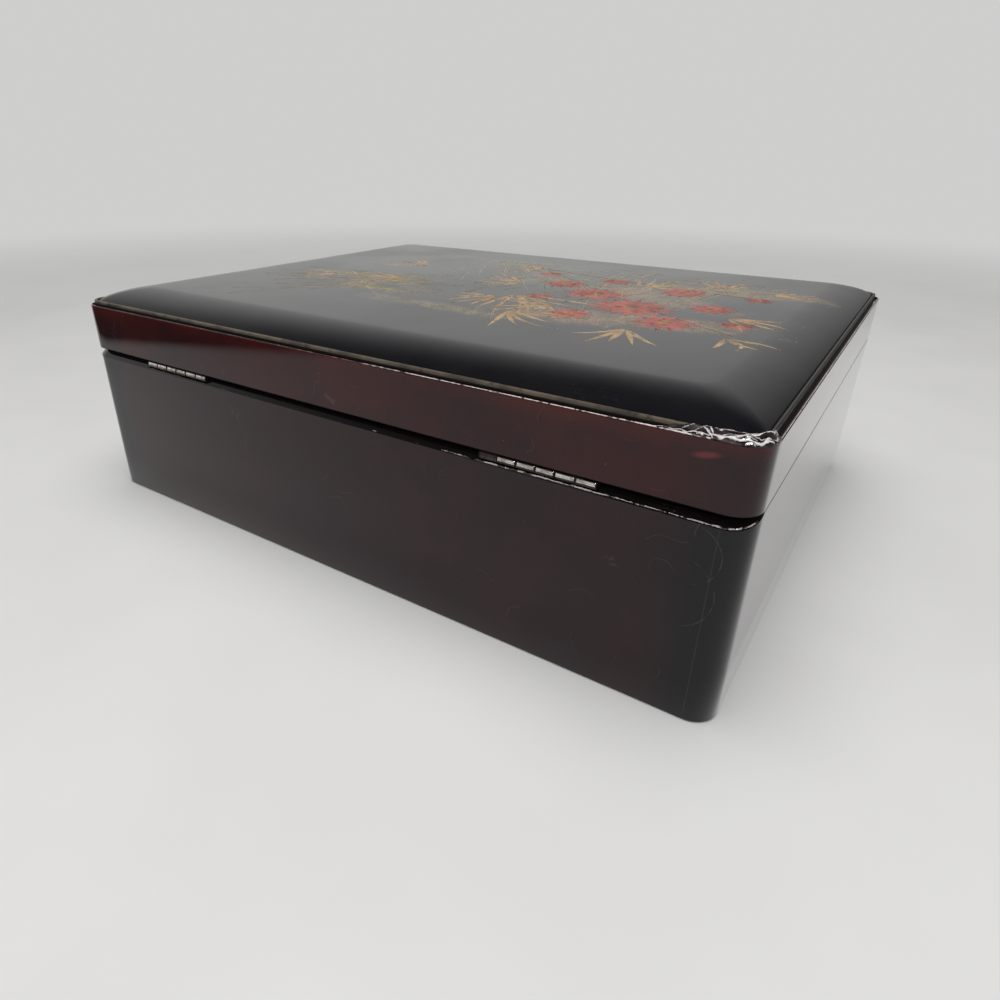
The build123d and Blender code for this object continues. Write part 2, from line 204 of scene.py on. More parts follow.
class Finish(Nodes):
    """A material with a Principled shader, and patterns placed by Object coordinates."""

    def __init__(self, name, roughness=0.3, metallic=0.0, **sockets):
        self.material = bpy.data.materials.new(name)
        self.material.use_nodes = True
        super().__init__(self.material.node_tree)
        self.shader = self.tree.nodes["Principled BSDF"]
        for socket, value in dict(sockets, Roughness=roughness, Metallic=metallic).items():
            self.feed(socket.replace("_", " "), value)
        self.place = self.add("ShaderNodeTexCoord").outputs["Object"]
        self.x, self.y, self.z = self.add("ShaderNodeSeparateXYZ", Vector=self.place).outputs

    def feed(self, socket, value):
        self.fill(self.shader.inputs[socket], value)

    def noise(self, scale, detail=3.0, roughness=0.55, stretch=(1, 1, 1), shift=(0, 0, 0)):
        """Fractal noise over Object coordinates, with lumps about 1 / scale metres across."""
        mapped = self.add("ShaderNodeMapping", Vector=self.place, Scale=stretch, Location=shift).outputs[0]
        return self.add(
            "ShaderNodeTexNoise", Vector=mapped, Scale=scale, Detail=detail, Roughness=roughness
        ).outputs["Fac"]

    def mix(self, factor, first, second):
        """A colour between two colours."""
        return self.add("ShaderNodeMix", {"data_type": "RGBA"}, i0=factor, i6=first, i7=second).outputs[2]

    def bump(self, height, distance, **under):
        """A dent or swelling in the shading, over another one where Normal is given."""
        return self.add("ShaderNodeBump", Height=height, Distance=distance, **under).outputs["Normal"]

    def ellipse(self, centre, turned, radii):
        """How far out a point lies in a turned ellipsoid: 0 at its middle and 1 at its rim."""
        local = self.add(
            "ShaderNodeMapping", {"vector_type": "TEXTURE"},
            Vector=self.place, Location=centre, Rotation=turned, Scale=radii,
        )
        return self.length(local.outputs[0])

    def scratches(self, angle, scale, width, share):
        """Thin broken lines: stretched noise where it crosses its middle, kept where a mask allows."""
        mapped = self.add(
            "ShaderNodeMapping", Vector=self.place, Rotation=(0.4, 0.9, angle), Scale=(1, 14, 1)
        )
        lines = self.add("ShaderNodeTexNoise", Vector=mapped.outputs[0], Scale=scale, Detail=0.0)
        thin = self.ramp(self.apart(lines.outputs["Fac"], 0.5), 0.0, width, 1.0, 0.0)
        allowed = self.noise(scale * 0.8, 1.0, shift=(angle, 3, 1))
        return self.times(thin, self.ramp(allowed, 0.66 - share, 0.70 - share))


print("display grey 128 is", round(srgb(128, 128, 128)[0], 3), "in linear light")

# %% [markdown]
# ## Lacquer
# The body is brown-red lacquer over dark wood. It is thin and glossy, so what one sees is a very
# dark colour plus the room mirrored in it. Three things break it up: painted shade turns the colour
# blue-black on the upright corners, for the dark reflection they show, it is redder where it has worn thin
# along the skirt's upper edge, and the surface is gently uneven, so that reflections wander. The finish is
# built in layers, from the deep colour up to the marks, and each layer is a function of its own.

# %% Where on the case a point lies
def outline_inset(finish):
    """Distance in from the case's outline, up to the corner radius: r - length(max(a, 0), max(b, 0)).

    Here a and b are measured outwards from the centre of the nearest corner's arc.
    """
    a = finish.math("SUBTRACT", finish.math("ABSOLUTE", finish.x), half_width - corner_radius)
    b = finish.math("SUBTRACT", finish.math("ABSOLUTE", finish.y), half_depth - corner_radius)
    past = [finish.math("POWER", finish.math("MAXIMUM", value, 0.0), 2) for value in (a, b)]
    return finish.math("SUBTRACT", corner_radius, finish.math("SQRT", finish.math("ADD", *past)))


def near_back(finish, reach, done):
    """0 further than reach millimetres from the front or back face, and 1 closer than done."""
    along = finish.math("ABSOLUTE", finish.y)
    return finish.ramp(along, half_depth - reach * MM, half_depth - done * MM)


# %% Deep colour
# Near black, used for painted shade in the groove and in the seam.
painted_shade_black = (0.0030, 0.0025, 0.0025)


def deep_colour(finish, on_skirt):
    """Mottled red-brown, redder on the skirt and browner with age; blue-black on the upright corners is
    painted shade, for the dark reflection they show.
    """
    mottle = finish.ramp(finish.noise(14, 4), 0.35, 0.68)
    base_tone = finish.mix(mottle, (0.0140, 0.0048, 0.0068), (0.0215, 0.0056, 0.0070))
    skirt_tone = finish.mix(mottle, (0.0235, 0.0046, 0.0054), (0.0375, 0.0058, 0.0064))
    tone = finish.mix(on_skirt, base_tone, skirt_tone)
    ageing = finish.ramp(finish.noise(48, 5, 0.65, shift=(2, 5, 1)), 0.44, 0.72, 0.0, 0.7)
    tone = finish.mix(ageing, tone, (0.0105, 0.0042, 0.0060))
    # Painted shade: the rounded upright corners are darkened to blue-black, for the dark reflection on them.
    near_side = finish.ramp(finish.math("ABSOLUTE", finish.x), half_width - 32 * MM, half_width - 12 * MM)
    fainter_on_skirt = finish.less(finish.times(on_skirt, 0.7))
    painted_corner_shade = finish.times(near_side, near_back(finish, 18, 10), fainter_on_skirt)
    return finish.mix(painted_corner_shade, tone, (0.0040, 0.0042, 0.0058))


# %% Edges, groove and bevel
def edge_colours(finish, tone, on_skirt):
    """Redder under the skirt's upper edge, and painted shade, nearly black, in the groove and on the bevel.
    """
    wear = finish.times(
        finish.ramp(finish.z, skirt_top - 8 * MM, skirt_top - 0.5 * MM),
        finish.ramp(finish.noise(30, 3, shift=(7, 1, 4)), 0.3, 0.65),
        near_back(finish, 10, 4), 0.75,
    )
    tone = finish.mix(wear, tone, (0.060, 0.0070, 0.0065))
    # Painted shade: the groove is darkened to near black.
    painted_groove_shade = finish.times(
        finish.ramp(outline_inset(finish), 0.8 * MM, 1.1 * MM),
        finish.ramp(finish.z, skirt_top - 2 * MM, skirt_top - 1 * MM),
    )
    tone = finish.mix(painted_groove_shade, tone, painted_shade_black)
    # Painted shade: the bevel, under the lid's edge, is darkened to near black.
    bevel_foot = seam - bevel
    painted_bevel_shade = finish.times(
        finish.ramp(finish.z, bevel_foot - 0.4 * MM, bevel_foot + 0.2 * MM), finish.less(on_skirt),
        finish.ramp(finish.y, half_depth - corner_radius, half_depth - bevel - 1 * MM),
    )
    return finish.mix(painted_bevel_shade, tone, (0.0045, 0.0030, 0.0034))


# %% Marks of use
# Curved scratches on the back, each part of a circle: middle x and z, radius, and the side of it that shows.
worn_arcs = [
    (0.1575, 0.1005, 0.0085, 1), (0.1490, 0.1080, 0.0060, 1), (-0.1720, 0.0720, 0.0120, -1),
    (-0.1690, 0.0560, 0.0150, -1),
]


def worn_arc(finish, x, z, radius, side):
    """A broken line along part of a circle on the back: a ramp on |distance from its middle - radius|."""
    across, up = finish.math("SUBTRACT", finish.x, x), finish.math("SUBTRACT", finish.z, z)
    squares = [finish.math("POWER", value, 2) for value in (across, up)]
    reach = finish.math("SQRT", finish.math("ADD", *squares))
    return finish.times(
        finish.ramp(finish.apart(reach, radius), 0.05 * MM, 0.22 * MM, 1.0, 0.0),
        finish.ramp(finish.times(across, side), 0.2 * radius, 0.6 * radius),
        finish.ramp(finish.y, half_depth - 3 * MM, half_depth - 1 * MM),
        finish.ramp(finish.noise(420, 2, shift=(x, 0, z)), 0.42, 0.56), 0.32,
    )


def marks_of_use(finish, tone, marks, on_skirt):
    """Fine scratches, specks, a rubbed red spot, the filled line of the mitre and the curved scratches."""
    tone = finish.mix(finish.times(marks, 0.07), tone, (0.35, 0.30, 0.30))
    dust = finish.add("ShaderNodeTexVoronoi", Vector=finish.place, Scale=260.0)
    specks = finish.times(
        finish.ramp(dust.outputs["Distance"], 0.03, 0.07, 1.0, 0.0),
        finish.ramp(finish.noise(90, 1, shift=(1, 9, 2)), 0.60, 0.66), 0.2,
    )
    tone = finish.mix(specks, tone, (0.5, 0.45, 0.42))
    rubbed = finish.ellipse((-0.1728, half_depth, 0.1093), (0, 0.2, 0), (5.5 * MM, 9 * MM, 1.5 * MM))
    tone = finish.mix(finish.ramp(rubbed, 0.3, 1.1, 0.8, 0.0), tone, (0.135, 0.022, 0.030))
    from_mitre = finish.apart(finish.math("ABSOLUTE", finish.x), half_width - corner_radius)
    mitre = finish.times(
        finish.ramp(from_mitre, 0.08 * MM, 0.35 * MM, 0.30, 0.0), near_back(finish, 1, 0.5),
        finish.less(on_skirt),
    )
    tone = finish.mix(mitre, tone, (0.060, 0.040, 0.042))
    for arc in worn_arcs:
        tone = finish.mix(worn_arc(finish, *arc), tone, (0.12, 0.09, 0.10))
    return tone


# %% Body lacquer
def make_body_lacquer():
    """The layers together, under a clear coat that stops inside the seam, where no light gets in and the
    colour is painted shade, near black.
    """
    finish = Finish(
        "burgundy_lacquer", roughness=0.1, IOR=1.5, Specular_IOR_Level=0.06, Coat_Weight=1.0, Coat_IOR=1.34,
        Coat_Roughness=0.03
    )
    on_skirt = finish.ramp(finish.z, seam - 1 * MM, seam + 1 * MM)
    rubs = [finish.scratches(0.5, 45, 0.006, 0.0), finish.scratches(2.1, 70, 0.008, 0.02)]
    marks = finish.math("MAXIMUM", *rubs)
    tone = edge_colours(finish, deep_colour(finish, on_skirt), on_skirt)
    tone = marks_of_use(finish, tone, marks, on_skirt)
    # Painted shade: near black in the seam between lid and base.
    painted_seam_shade = finish.ramp(finish.apart(finish.z, seam), 0.40 * MM, 0.75 * MM, 1.0, 0.0)
    finish.feed("Base Color", finish.mix(painted_seam_shade, tone, painted_shade_black))
    finish.feed("Coat Weight", finish.less(painted_seam_shade))
    smudge = finish.ramp(finish.noise(22, 4, shift=(3, 2, 8)), 0.35, 0.8, 0.03, 0.09)
    finish.feed("Roughness", finish.math("ADD", smudge, finish.times(marks, 0.2)))
    broad = finish.bump(finish.noise(24, 1), 0.00016)
    finish.feed("Normal", finish.bump(finish.noise(420, 2), 0.0000045, Normal=broad))
    return finish.material


body_lacquer = make_body_lacquer()
print("body lacquer has", len(body_lacquer.node_tree.nodes), "nodes")

# %% [markdown]
# The crown of the lid is black. Age has turned its gloss to satin, so the pale wall behind the case shows
# in it as a soft grey, strongest where one looks along the surface. Fine rubbing marks run every way, and
# bars of gold powder, like mist, are dusted into the black before the painting is laid on it.

# %% Crown lacquer
# Each bar of mist: middle x, middle y, half length and half height in metres, and its angle.
mist_bars = [
    (-0.096, 0.050, 0.062, 0.018, 0.20), (-0.058, -0.020, 0.082, 0.022, -0.24),
    (-0.128, -0.058, 0.048, 0.014, 0.14), (0.022, -0.084, 0.072, 0.010, 0.05),
    (-0.004, 0.074, 0.058, 0.008, -0.07), (0.092, 0.018, 0.048, 0.006, 0.17),
    (0.052, 0.052, 0.040, 0.007, -0.12),
]
mist_depth = 1000.0     # half height of a bar's ellipsoid along Z: so tall that its height has no effect


def mist_cover(finish):
    """The largest of all bars' soft ellipses, each broken at its rim by noise: 1 inside, 0 outside."""
    ragged = finish.math("SUBTRACT", finish.noise(42, 5, 0.65, shift=(6, 2, 5)), 0.5)
    cover = 0.0
    for x, y, half_length, half_height, angle in mist_bars:
        reach = finish.ellipse((x, y, 0), (0, 0, angle), (half_length, half_height, mist_depth))
        rim = finish.math("ADD", reach, finish.times(ragged, 2.2))
        cover = finish.math("MAXIMUM", cover, finish.ramp(rim, 0.35, 1.15, 1.0, 0.0))
    return cover


def make_crown_lacquer():
    """Satin black, with rubbing marks, and gold powder where the bars of mist lie."""
    finish = Finish("black_lacquer", roughness=0.16, IOR=1.5, Specular_IOR_Level=0.45)
    mottle = finish.ramp(finish.noise(18, 4), 0.35, 0.7)
    tone = finish.mix(mottle, (0.0048, 0.0044, 0.0062), (0.0088, 0.0080, 0.0100))
    rubs = [finish.scratches(1.2, 60, 0.010, 0.02), finish.scratches(0.2, 95, 0.010, 0.03)]
    tone = finish.mix(finish.times(finish.math("MAXIMUM", *rubs), 0.04), tone, (0.4, 0.4, 0.38))
    grains = finish.ramp(finish.noise(1100, 3, 0.7), 0.42, 0.62, 0.25, 0.80)
    clouds = finish.ramp(finish.noise(120, 4, 0.7, shift=(8, 3, 1)), 0.32, 0.62, 0.25, 1.0)
    slope = finish.ramp(finish.x, -0.13, 0.02, 0.16, -0.16)
    warm = finish.math("ADD", finish.noise(34, 2, shift=(2, 7, 3)), slope)
    gold = finish.mix(finish.ramp(warm, 0.42, 0.62), srgb(120, 112, 84), srgb(188, 140, 96))
    finish.feed("Base Color", finish.mix(finish.times(mist_cover(finish), grains, clouds), tone, gold))
    finish.feed("Roughness", finish.ramp(finish.noise(16, 5, 0.6, shift=(5, 4, 2)), 0.3, 0.75, 0.11, 0.21))
    broad = finish.bump(finish.noise(20, 1), 0.00016)
    finish.feed("Normal", finish.bump(finish.noise(380, 3), 0.000006, Normal=broad))
    return finish.material


crown_lacquer = make_crown_lacquer()
print(len(mist_bars), "bars of mist in", crown_lacquer.name)

# %% [markdown]
# Gold and colours are powders sprinkled on wet lacquer, so they are dull rather than metallic, and the black
# ground shows where they are rubbed away. The bead round the crown is olive gold, but only on its top and
# only near the front and back; its side in the groove is painted shade.

# %% Gilding
powder_grain = 0.00002      # height of the powder's roughness to the touch
ground = (0.010, 0.010, 0.010)


def make_gilt(name, bright, dull, under, worn, scale):
    """Gold or coloured powder over black: bright where whole, dull where rubbed, the ground where lost."""
    finish = Finish(name, roughness=0.42, IOR=1.5)
    tone = finish.mix(finish.ramp(finish.noise(scale, 3), 0.35, 0.65), bright, dull)
    lost = finish.ramp(finish.noise(scale * 2.2, 5, 0.7, shift=(4, 1, 7)), 0.66 - worn, 0.80 - worn)
    finish.feed("Base Color", finish.mix(lost, tone, under))
    finish.feed("Roughness", finish.ramp(finish.noise(300, 2), 0.3, 0.7, 0.32, 0.5))
    finish.feed("Normal", finish.bump(finish.noise(900, 2), powder_grain))
    return finish.material


def make_bead_gilt():
    """Olive gold on the upper part of the bead; its side, down to the groove, is painted shade, near black,
    and the bead is also near black along the lid's left and right sides.
    """
    finish = Finish("olive_gilt", roughness=0.38, IOR=1.5)
    tone = finish.mix(finish.ramp(finish.noise(70, 3), 0.35, 0.65), srgb(98, 88, 74), srgb(66, 58, 50))
    lost = finish.ramp(finish.noise(170, 5, 0.7, shift=(4, 1, 7)), 0.55, 0.68)
    # Painted shade: the bead's side, down in the groove, is near black.
    groove_side_shade = finish.ramp(finish.z, skirt_top + 0.70 * MM, skirt_top + 1.10 * MM, 1.0, 0.0)
    # Near black along the lid's left and right sides, away from the front and back.
    dark_along_sides = finish.times(finish.less(near_back(finish, 12, 6)), 0.9)
    lost = finish.math("MAXIMUM", lost, finish.math("MAXIMUM", groove_side_shade, dark_along_sides))
    finish.feed("Base Color", finish.mix(lost, tone, (0.007, 0.006, 0.0055)))
    finish.feed("Normal", finish.bump(finish.noise(900, 2), powder_grain))
    return finish.material


bead_gilt = make_bead_gilt()
old_gold = make_gilt("old_gold", srgb(172, 158, 120), srgb(132, 120, 88), ground, 0.05, 120)
pale_gold = make_gilt("pale_gold", srgb(186, 152, 110), srgb(146, 120, 86), ground, 0.13, 110)
coral = make_gilt("coral", srgb(176, 92, 82), srgb(140, 72, 62), (0.014, 0.009, 0.009), 0.13, 100)
sage = make_gilt("sage", srgb(104, 104, 78), srgb(78, 80, 62), ground, 0.08, 90)
print("gilding made:", [m.name for m in (bead_gilt, old_gold, pale_gold, coral, sage)])

# %% [markdown]
# Along the sharp edges the dark lacquer is broken by painted highlights, pinkish to pale, for the light that
# these edges catch, under a clear gloss. The painted highlights show more towards the -X end.

# %% Edges with painted highlights
def make_highlighted_edge(name, pink, pale, share, scale):
    """Dark lacquer broken by painted highlights: amount = noise + a slope along X; tone = pink to pale along
    X.
    """
    finish = Finish(name, roughness=0.04, IOR=1.55, Coat_Weight=1.0, Coat_Roughness=0.03)
    # More painted highlight towards the -X end.
    grip = finish.ramp(finish.x, -half_width, half_width, share, share - 0.20)
    highlight_amount = finish.math("ADD", finish.noise(scale, 5, 0.75), grip)
    slope = finish.ramp(finish.x, -0.11, 0.03, 0.3, -0.2)
    paler_highlight = finish.math("ADD", finish.noise(60, 2, shift=(3, 3, 3)), slope)
    highlight_tone = finish.mix(finish.ramp(paler_highlight, 0.40, 0.62), pink, pale)
    finish.feed("Base Color", finish.mix(finish.ramp(highlight_amount, 0.50, 0.60), (0.016, 0.006, 0.007), highlight_tone))
    finish.feed("Normal", finish.bump(finish.noise(500, 3), 0.00015))
    return finish.material


# Painted highlights for the skirt's ridge, the bevel's lower edge and the creases.
ridge_painted_highlight = make_highlighted_edge("ridge_painted_highlight", srgb(132, 78, 76), srgb(226, 214, 210), 0.13, 170)
arris_painted_highlight = make_highlighted_edge("arris_painted_highlight", srgb(112, 88, 86), srgb(184, 176, 174), 0.085, 300)
print("worn edges:", ridge_painted_highlight.name, arris_painted_highlight.name)

# %% [markdown]
# ## Metal, wood and felt
# The hinges are plated steel that has dulled in patches. The pulls are brass, darker in patches. Inside, the
# drawers and dividers are plain oiled wood, with a grain that runs along each board, and the floors are
# lined with green felt.

# %% Metals
def make_metal(name, bright, tarnish, patch_scale, roughness, rubbed=None):
    """Metal whose colour and roughness follow one patchy noise; above and below a band of heights it is
    painted shade, a dark grey-brown.
    """
    finish = Finish(name, roughness=roughness, metallic=1.0)
    patches = finish.ramp(finish.noise(patch_scale, 4, 0.65), 0.42, 0.66)
    tone = finish.mix(patches, bright, tarnish)
    if rubbed is not None:
        # Painted shade above and below the lit band.
        below = finish.ramp(finish.z, rubbed[0] - 0.5 * MM, rubbed[0], 1.0, 0.0)
        above = finish.ramp(finish.z, rubbed[1], rubbed[1] + 0.4 * MM)
        tone = finish.mix(finish.math("MAXIMUM", below, above), tone, (0.050, 0.040, 0.036))
    finish.feed("Base Color", tone)
    finish.feed("Roughness", finish.ramp(patches, 0.0, 1.0, roughness, roughness + 0.25))
    finish.feed("Normal", finish.bump(finish.noise(1400, 2), 0.00003))
    return finish.material


# The knuckles' lit band: above and below it the metal is painted shade.
lit_band_heights = (hinge_z + 0.2 * MM, hinge_z + 1.0 * MM)
hinge_metal = make_metal("nickel_bright", (0.86, 0.81, 0.78), (0.46, 0.40, 0.37), 240, 0.2, lit_band_heights)
# Dark metal for the leaves and pins: tarnish, and painted shade in the gaps between the knuckles.
hinge_tarnish_and_shade = make_metal("hinge_tarnish_and_shade", (0.080, 0.062, 0.055), (0.030, 0.023, 0.021), 200, 0.45)
screw_steel = make_metal("screw_heads", (0.50, 0.47, 0.44), (0.26, 0.22, 0.18), 300, 0.3)
pull_brass = make_metal("aged_brass", (0.66, 0.47, 0.20), (0.24, 0.16, 0.07), 120, 0.24)
print("metals made:", [m.name for m in (hinge_metal, hinge_tarnish_and_shade, screw_steel, pull_brass)])


# %% Plain wood
def make_wood(name, stretch, light, dark):
    """Grain: noise stretched along one axis, with darker pores, and a slow change of tone between boards."""
    finish = Finish(name, roughness=0.5, IOR=1.5)
    grain = finish.noise(150, 5, 0.6, stretch=stretch)
    tone = finish.mix(finish.ramp(grain, 0.35, 0.7), light, dark)
    pores = finish.ramp(finish.noise(900, 2, 0.5, stretch=stretch, shift=(1, 2, 3)), 0.60, 0.72)
    finish.feed("Base Color", finish.mix(finish.times(pores, 0.5), tone, (0.07, 0.035, 0.015)))
    finish.feed("Roughness", finish.ramp(grain, 0.3, 0.7, 0.42, 0.6))
    finish.feed("Normal", finish.bump(finish.math("SUBTRACT", grain, pores), 0.00012))
    return finish.material


wood_across = make_wood("inner_wood_across", (0.08, 1, 1), (0.36, 0.20, 0.095), (0.22, 0.11, 0.05))
wood_deep = make_wood("inner_wood_deep", (1, 0.08, 1), (0.34, 0.19, 0.09), (0.21, 0.105, 0.048))


# %% Felt
def make_felt():
    """Matted wool: two sizes of soft noise in colour and height, and a pale sheen seen along the felt."""
    finish = Finish("green_felt", roughness=0.95, Sheen_Weight=0.35, Sheen_Roughness=0.5)
    clumps = finish.noise(420, 4, 0.7)
    tone = finish.mix(finish.ramp(clumps, 0.3, 0.7), (0.018, 0.070, 0.040), (0.040, 0.125, 0.072))
    worn = finish.ramp(finish.noise(18, 3, shift=(1, 4, 2)), 0.52, 0.75, 0.0, 0.35)
    finish.feed("Base Color", finish.mix(worn, tone, (0.075, 0.15, 0.095)))
    fibres = finish.noise(2600, 2, 0.6)
    finish.feed("Normal", finish.bump(finish.math("ADD", fibres, clumps), 0.00025))
    return finish.material


felt_green = make_felt()
print("woods and felt ready")

# %% [markdown]
# ## Helpers for meshes
# All new pieces are grids of points worked out with numpy. A grid has rows (sections along a path) and
# columns (points round a section). Either way can be closed. Faces come from index arithmetic on the whole
# grid at once.

# %% Grids and pieces
def grid_faces(rows, columns, close_rows, close_columns):
    """Quads of a grid of points numbered row * columns + column, as an (n, 4) array."""
    r = np.arange(rows if close_rows else rows - 1)
    c = np.arange(columns if close_columns else columns - 1)
    r0, c0 = (a.ravel() for a in np.meshgrid(r, c, indexing="ij"))
    r1, c1 = (r0 + 1) % rows, (c0 + 1) % columns
    return np.stack([r0 * columns + c0, r0 * columns + c1, r1 * columns + c1, r1 * columns + c0], 1)


def capped(sections, close_path=False, flat_ends=True):
    """Points and faces of a tube with one section to a row. An open tube's ends are fans to their middles.

    Flat ends have fans that run against the sides. add_piece then takes the rim for a sharp edge, so the
    end keeps its own flat shading, and face_outwards turns the fans round afterwards.
    """
    rows, columns = sections.shape[:2]
    points = sections.reshape(-1, 3)
    faces = grid_faces(rows, columns, close_path, True).tolist()
    for row, forwards in () if close_path else ((0, flat_ends), (rows - 1, not flat_ends)):
        ring = np.arange(columns) + row * columns
        pair = (ring, np.roll(ring, -1))
        faces += [(a, b, len(points)) for a, b in zip(*(pair if forwards else pair[::-1]))]
        points = np.concatenate([points, sections[row].mean(0, keepdims=True)])
    return points, faces


def add_piece(name, points, faces, material, body, slot, sharp_angle):
    """A mesh object at the origin, smooth except along edges sharper than an angle, riding on a body."""
    mesh = bpy.data.meshes.new(name)
    mesh.from_pydata(np.asarray(points, dtype=float).tolist(), [], [list(map(int, f)) for f in faces])
    mesh.polygons.foreach_set("use_smooth", np.ones(len(mesh.polygons), dtype=bool))
    mesh.update()
    mesh.set_sharp_from_angle(angle=math.radians(sharp_angle))
    piece = bpy.data.objects.new(name, mesh)
    scene.collection.objects.link(piece)
    mesh.materials.append(material)
    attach(piece, body)
    return piece


def face_outwards(piece):
    """Recalculates a closed mesh's normals so that every face points out."""
    work = bmesh.new()
    work.from_mesh(piece.data)
    bmesh.ops.remove_doubles(work, verts=work.verts, dist=1e-7)
    bmesh.ops.recalc_face_normals(work, faces=work.faces)
    work.to_mesh(piece.data)
    work.free()
    piece.data.update()


def add_solid(*values):
    """A closed piece, made by add_piece, with its faces outwards."""
    piece = add_piece(*values)
    face_outwards(piece)
    return piece


# %% Lines and outlines
def smooth_random(seed, count, waves, closed=True):
    """A wandering line from -1 to 1: a sum of sines with random phases and falling amplitude."""
    rng = np.random.default_rng(seed)
    t = np.linspace(0, 2 * math.pi, count, endpoint=not closed)
    n = np.arange(1, waves + 1)
    amplitude = rng.normal(size=waves) / n**0.5
    phase = rng.uniform(0, 2 * math.pi, waves)
    line = (amplitude[:, None] * np.sin(n[:, None] * t + phase[:, None])).sum(0)
    return line / np.abs(line).max()


def fan_out(angle):
    """Unit vectors at some angles from +X, seen from above."""
    return np.stack([np.cos(angle), np.sin(angle)], 1)


def rounded_outline(half_x, half_y, radius, corner_steps, side_steps, first=0):
    """A rounded rectangle from above, anticlockwise: its points and outward normals.

    Each corner is a quarter circle, and each side is a straight run cut into equal steps. The corners count
    from 0 at +X +Y, and first is the one to start with.
    """
    signs = np.array([(1, 1), (-1, 1), (-1, -1), (1, -1)])
    centres = signs * (half_x - radius, half_y - radius)
    points, normals = [], []
    for index in range(first, first + 4):
        normal = fan_out(np.linspace(0, math.pi / 2, corner_steps + 1) + index * math.pi / 2)
        arc = centres[index % 4] + radius * normal
        following = centres[(index + 1) % 4] + radius * normal[-1]
        t = np.linspace(0, 1, side_steps + 1)[1:-1, None]
        points += [arc, arc[-1] * (1 - t) + following * t]
        normals += [normal, np.repeat(normal[-1:], side_steps - 1, 0)]
    return np.concatenate(points), np.concatenate(normals)


outline_points, outline_normals = rounded_outline(half_width, half_depth, corner_radius, 14, 60, -1)
print("outline has", len(outline_points), "points")

# %% [markdown]
# ## The base's lacquered walls
# On the real case the lacquer runs over the mitres, so no joint shows at the corners. The walls are
# therefore one shell: a board's section carried round the outline. Along the back the section
# changes: it has the long bevel, and at each hinge a square pocket for the knuckles. Every section has
# the same number of points, so that the points can be joined from one section to the next.

# %% Sections of the base
def bevel_size(y):
    """The bevel at a place on the outline: full along the back, and fading round the corners as share^0.6."""
    return bevel * np.clip((y - (half_depth - corner_radius)) / corner_radius, 0, 1) ** 0.6


def base_sections(points):
    """For each path point, a closed section of (inset, height) points.

    The section's outer top corner is four points: the bevel's two edges, or the pocket's floor and back.
    """
    zero = np.zeros(len(points))
    size = bevel_size(points[:, 1])
    edge = np.maximum(size, base_edge)
    in_pocket = zero > 0
    for low, high in hinge_ends:
        inside = (points[:, 0] > low - pocket_gap) & (points[:, 0] < high + pocket_gap)
        in_pocket |= inside & (points[:, 1] > half_depth - 1e-5)
    floor_height = hinge_z - pocket_half
    floor_inset = floor_height - (seam - bevel)
    back_inset = half_depth - (hinge_y - pocket_half)

    def either(pocket, elsewhere):
        return np.where(in_pocket, pocket, elsewhere)

    inner = [(zero + wall, zero), (zero + wall, zero + seam)]
    top = [
        (either(back_inset, edge), zero + seam),
        (either(back_inset, size * 0.667 + 0.15 * MM), either(floor_height + 2 * MM, seam - size * 0.333)),
        (either(back_inset, size * 0.333), either(floor_height, seam - size * 0.667)),
        (either(floor_inset, 0.0), either(floor_height, seam - edge)),
        (zero, seam - edge - 0.3 * MM),
    ]
    low_wall = [(zero, zero + share * seam) for share in (0.75, 0.5, 0.25)]
    foot_round = [(zero + inset * MM, zero + up * MM) for inset, up in ((0, 1.2), (0.35, 0.35), (1.2, 0))]
    return np.stack([np.stack(pair, 1) for pair in inner + top + low_wall + foot_round], 1)


# %% Path of the base
def open_path():
    """The outline from the front right of the drawer openings, round the back, to their front left.

    At each end of each hinge's pocket it has two points a hair apart, so that the pocket's ends are upright.
    """
    hair = 0.02 * MM
    start, end = (
        np.argmin(np.hypot(outline_points[:, 0] - x, outline_points[:, 1] + half_depth))
        for x in (half_width - corner_radius, corner_radius - half_width)
    )
    count = len(outline_points)
    picks = (start + np.arange((end - start) % count + 1)) % count
    down = np.array([[0.0, -1.0]])
    first, last = ([[x, -half_depth]] for x in (opening_outer, -opening_outer))
    points = np.concatenate([first, outline_points[picks], last])
    normals = np.concatenate([down, outline_normals[picks], down])
    back = np.where(np.abs(points[:, 1] - half_depth) < 1e-6)[0]
    pocket_ends = [x for low, high in hinge_ends for x in (low - pocket_gap, high + pocket_gap)]
    extra = [[x + side, half_depth] for x in pocket_ends for side in (-hair, hair)]
    merged = np.concatenate([points[back], extra])
    merged = merged[np.argsort(-merged[:, 0])]
    up = np.repeat([[0.0, 1.0]], len(merged), 0)
    before, after = slice(0, back[0]), slice(back[-1] + 1, None)
    return (np.concatenate([points[before], merged, points[after]]),
            np.concatenate([normals[before], up, normals[after]]))


# %% Base shell
def loft(points, normals, sections, close_path):
    """Sections carried along a path: each point is the path point less its inset along the normal."""
    flat = points[:, None, :] - normals[:, None, :] * sections[..., :1]
    return capped(np.concatenate([flat, sections[..., 1:]], 2), close_path)


base_points, base_normals = open_path()
shell_points, shell_faces = loft(base_points, base_normals, base_sections(base_points), False)
base_shell = add_solid("base_shell", shell_points, shell_faces, body_lacquer, "case", "body_lacquer", 28)
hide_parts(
    "back_board", "left_side_board", "right_side_board", "front_left_stile", "front_right_stile"
)
print("base shell", len(shell_points), "points")

# %% [markdown]
# ## The front frame
# The rails and the centre stile between the drawers are plain bars with slightly rounded edges. One
# function makes any of them: a rounded rectangle swept along its length.

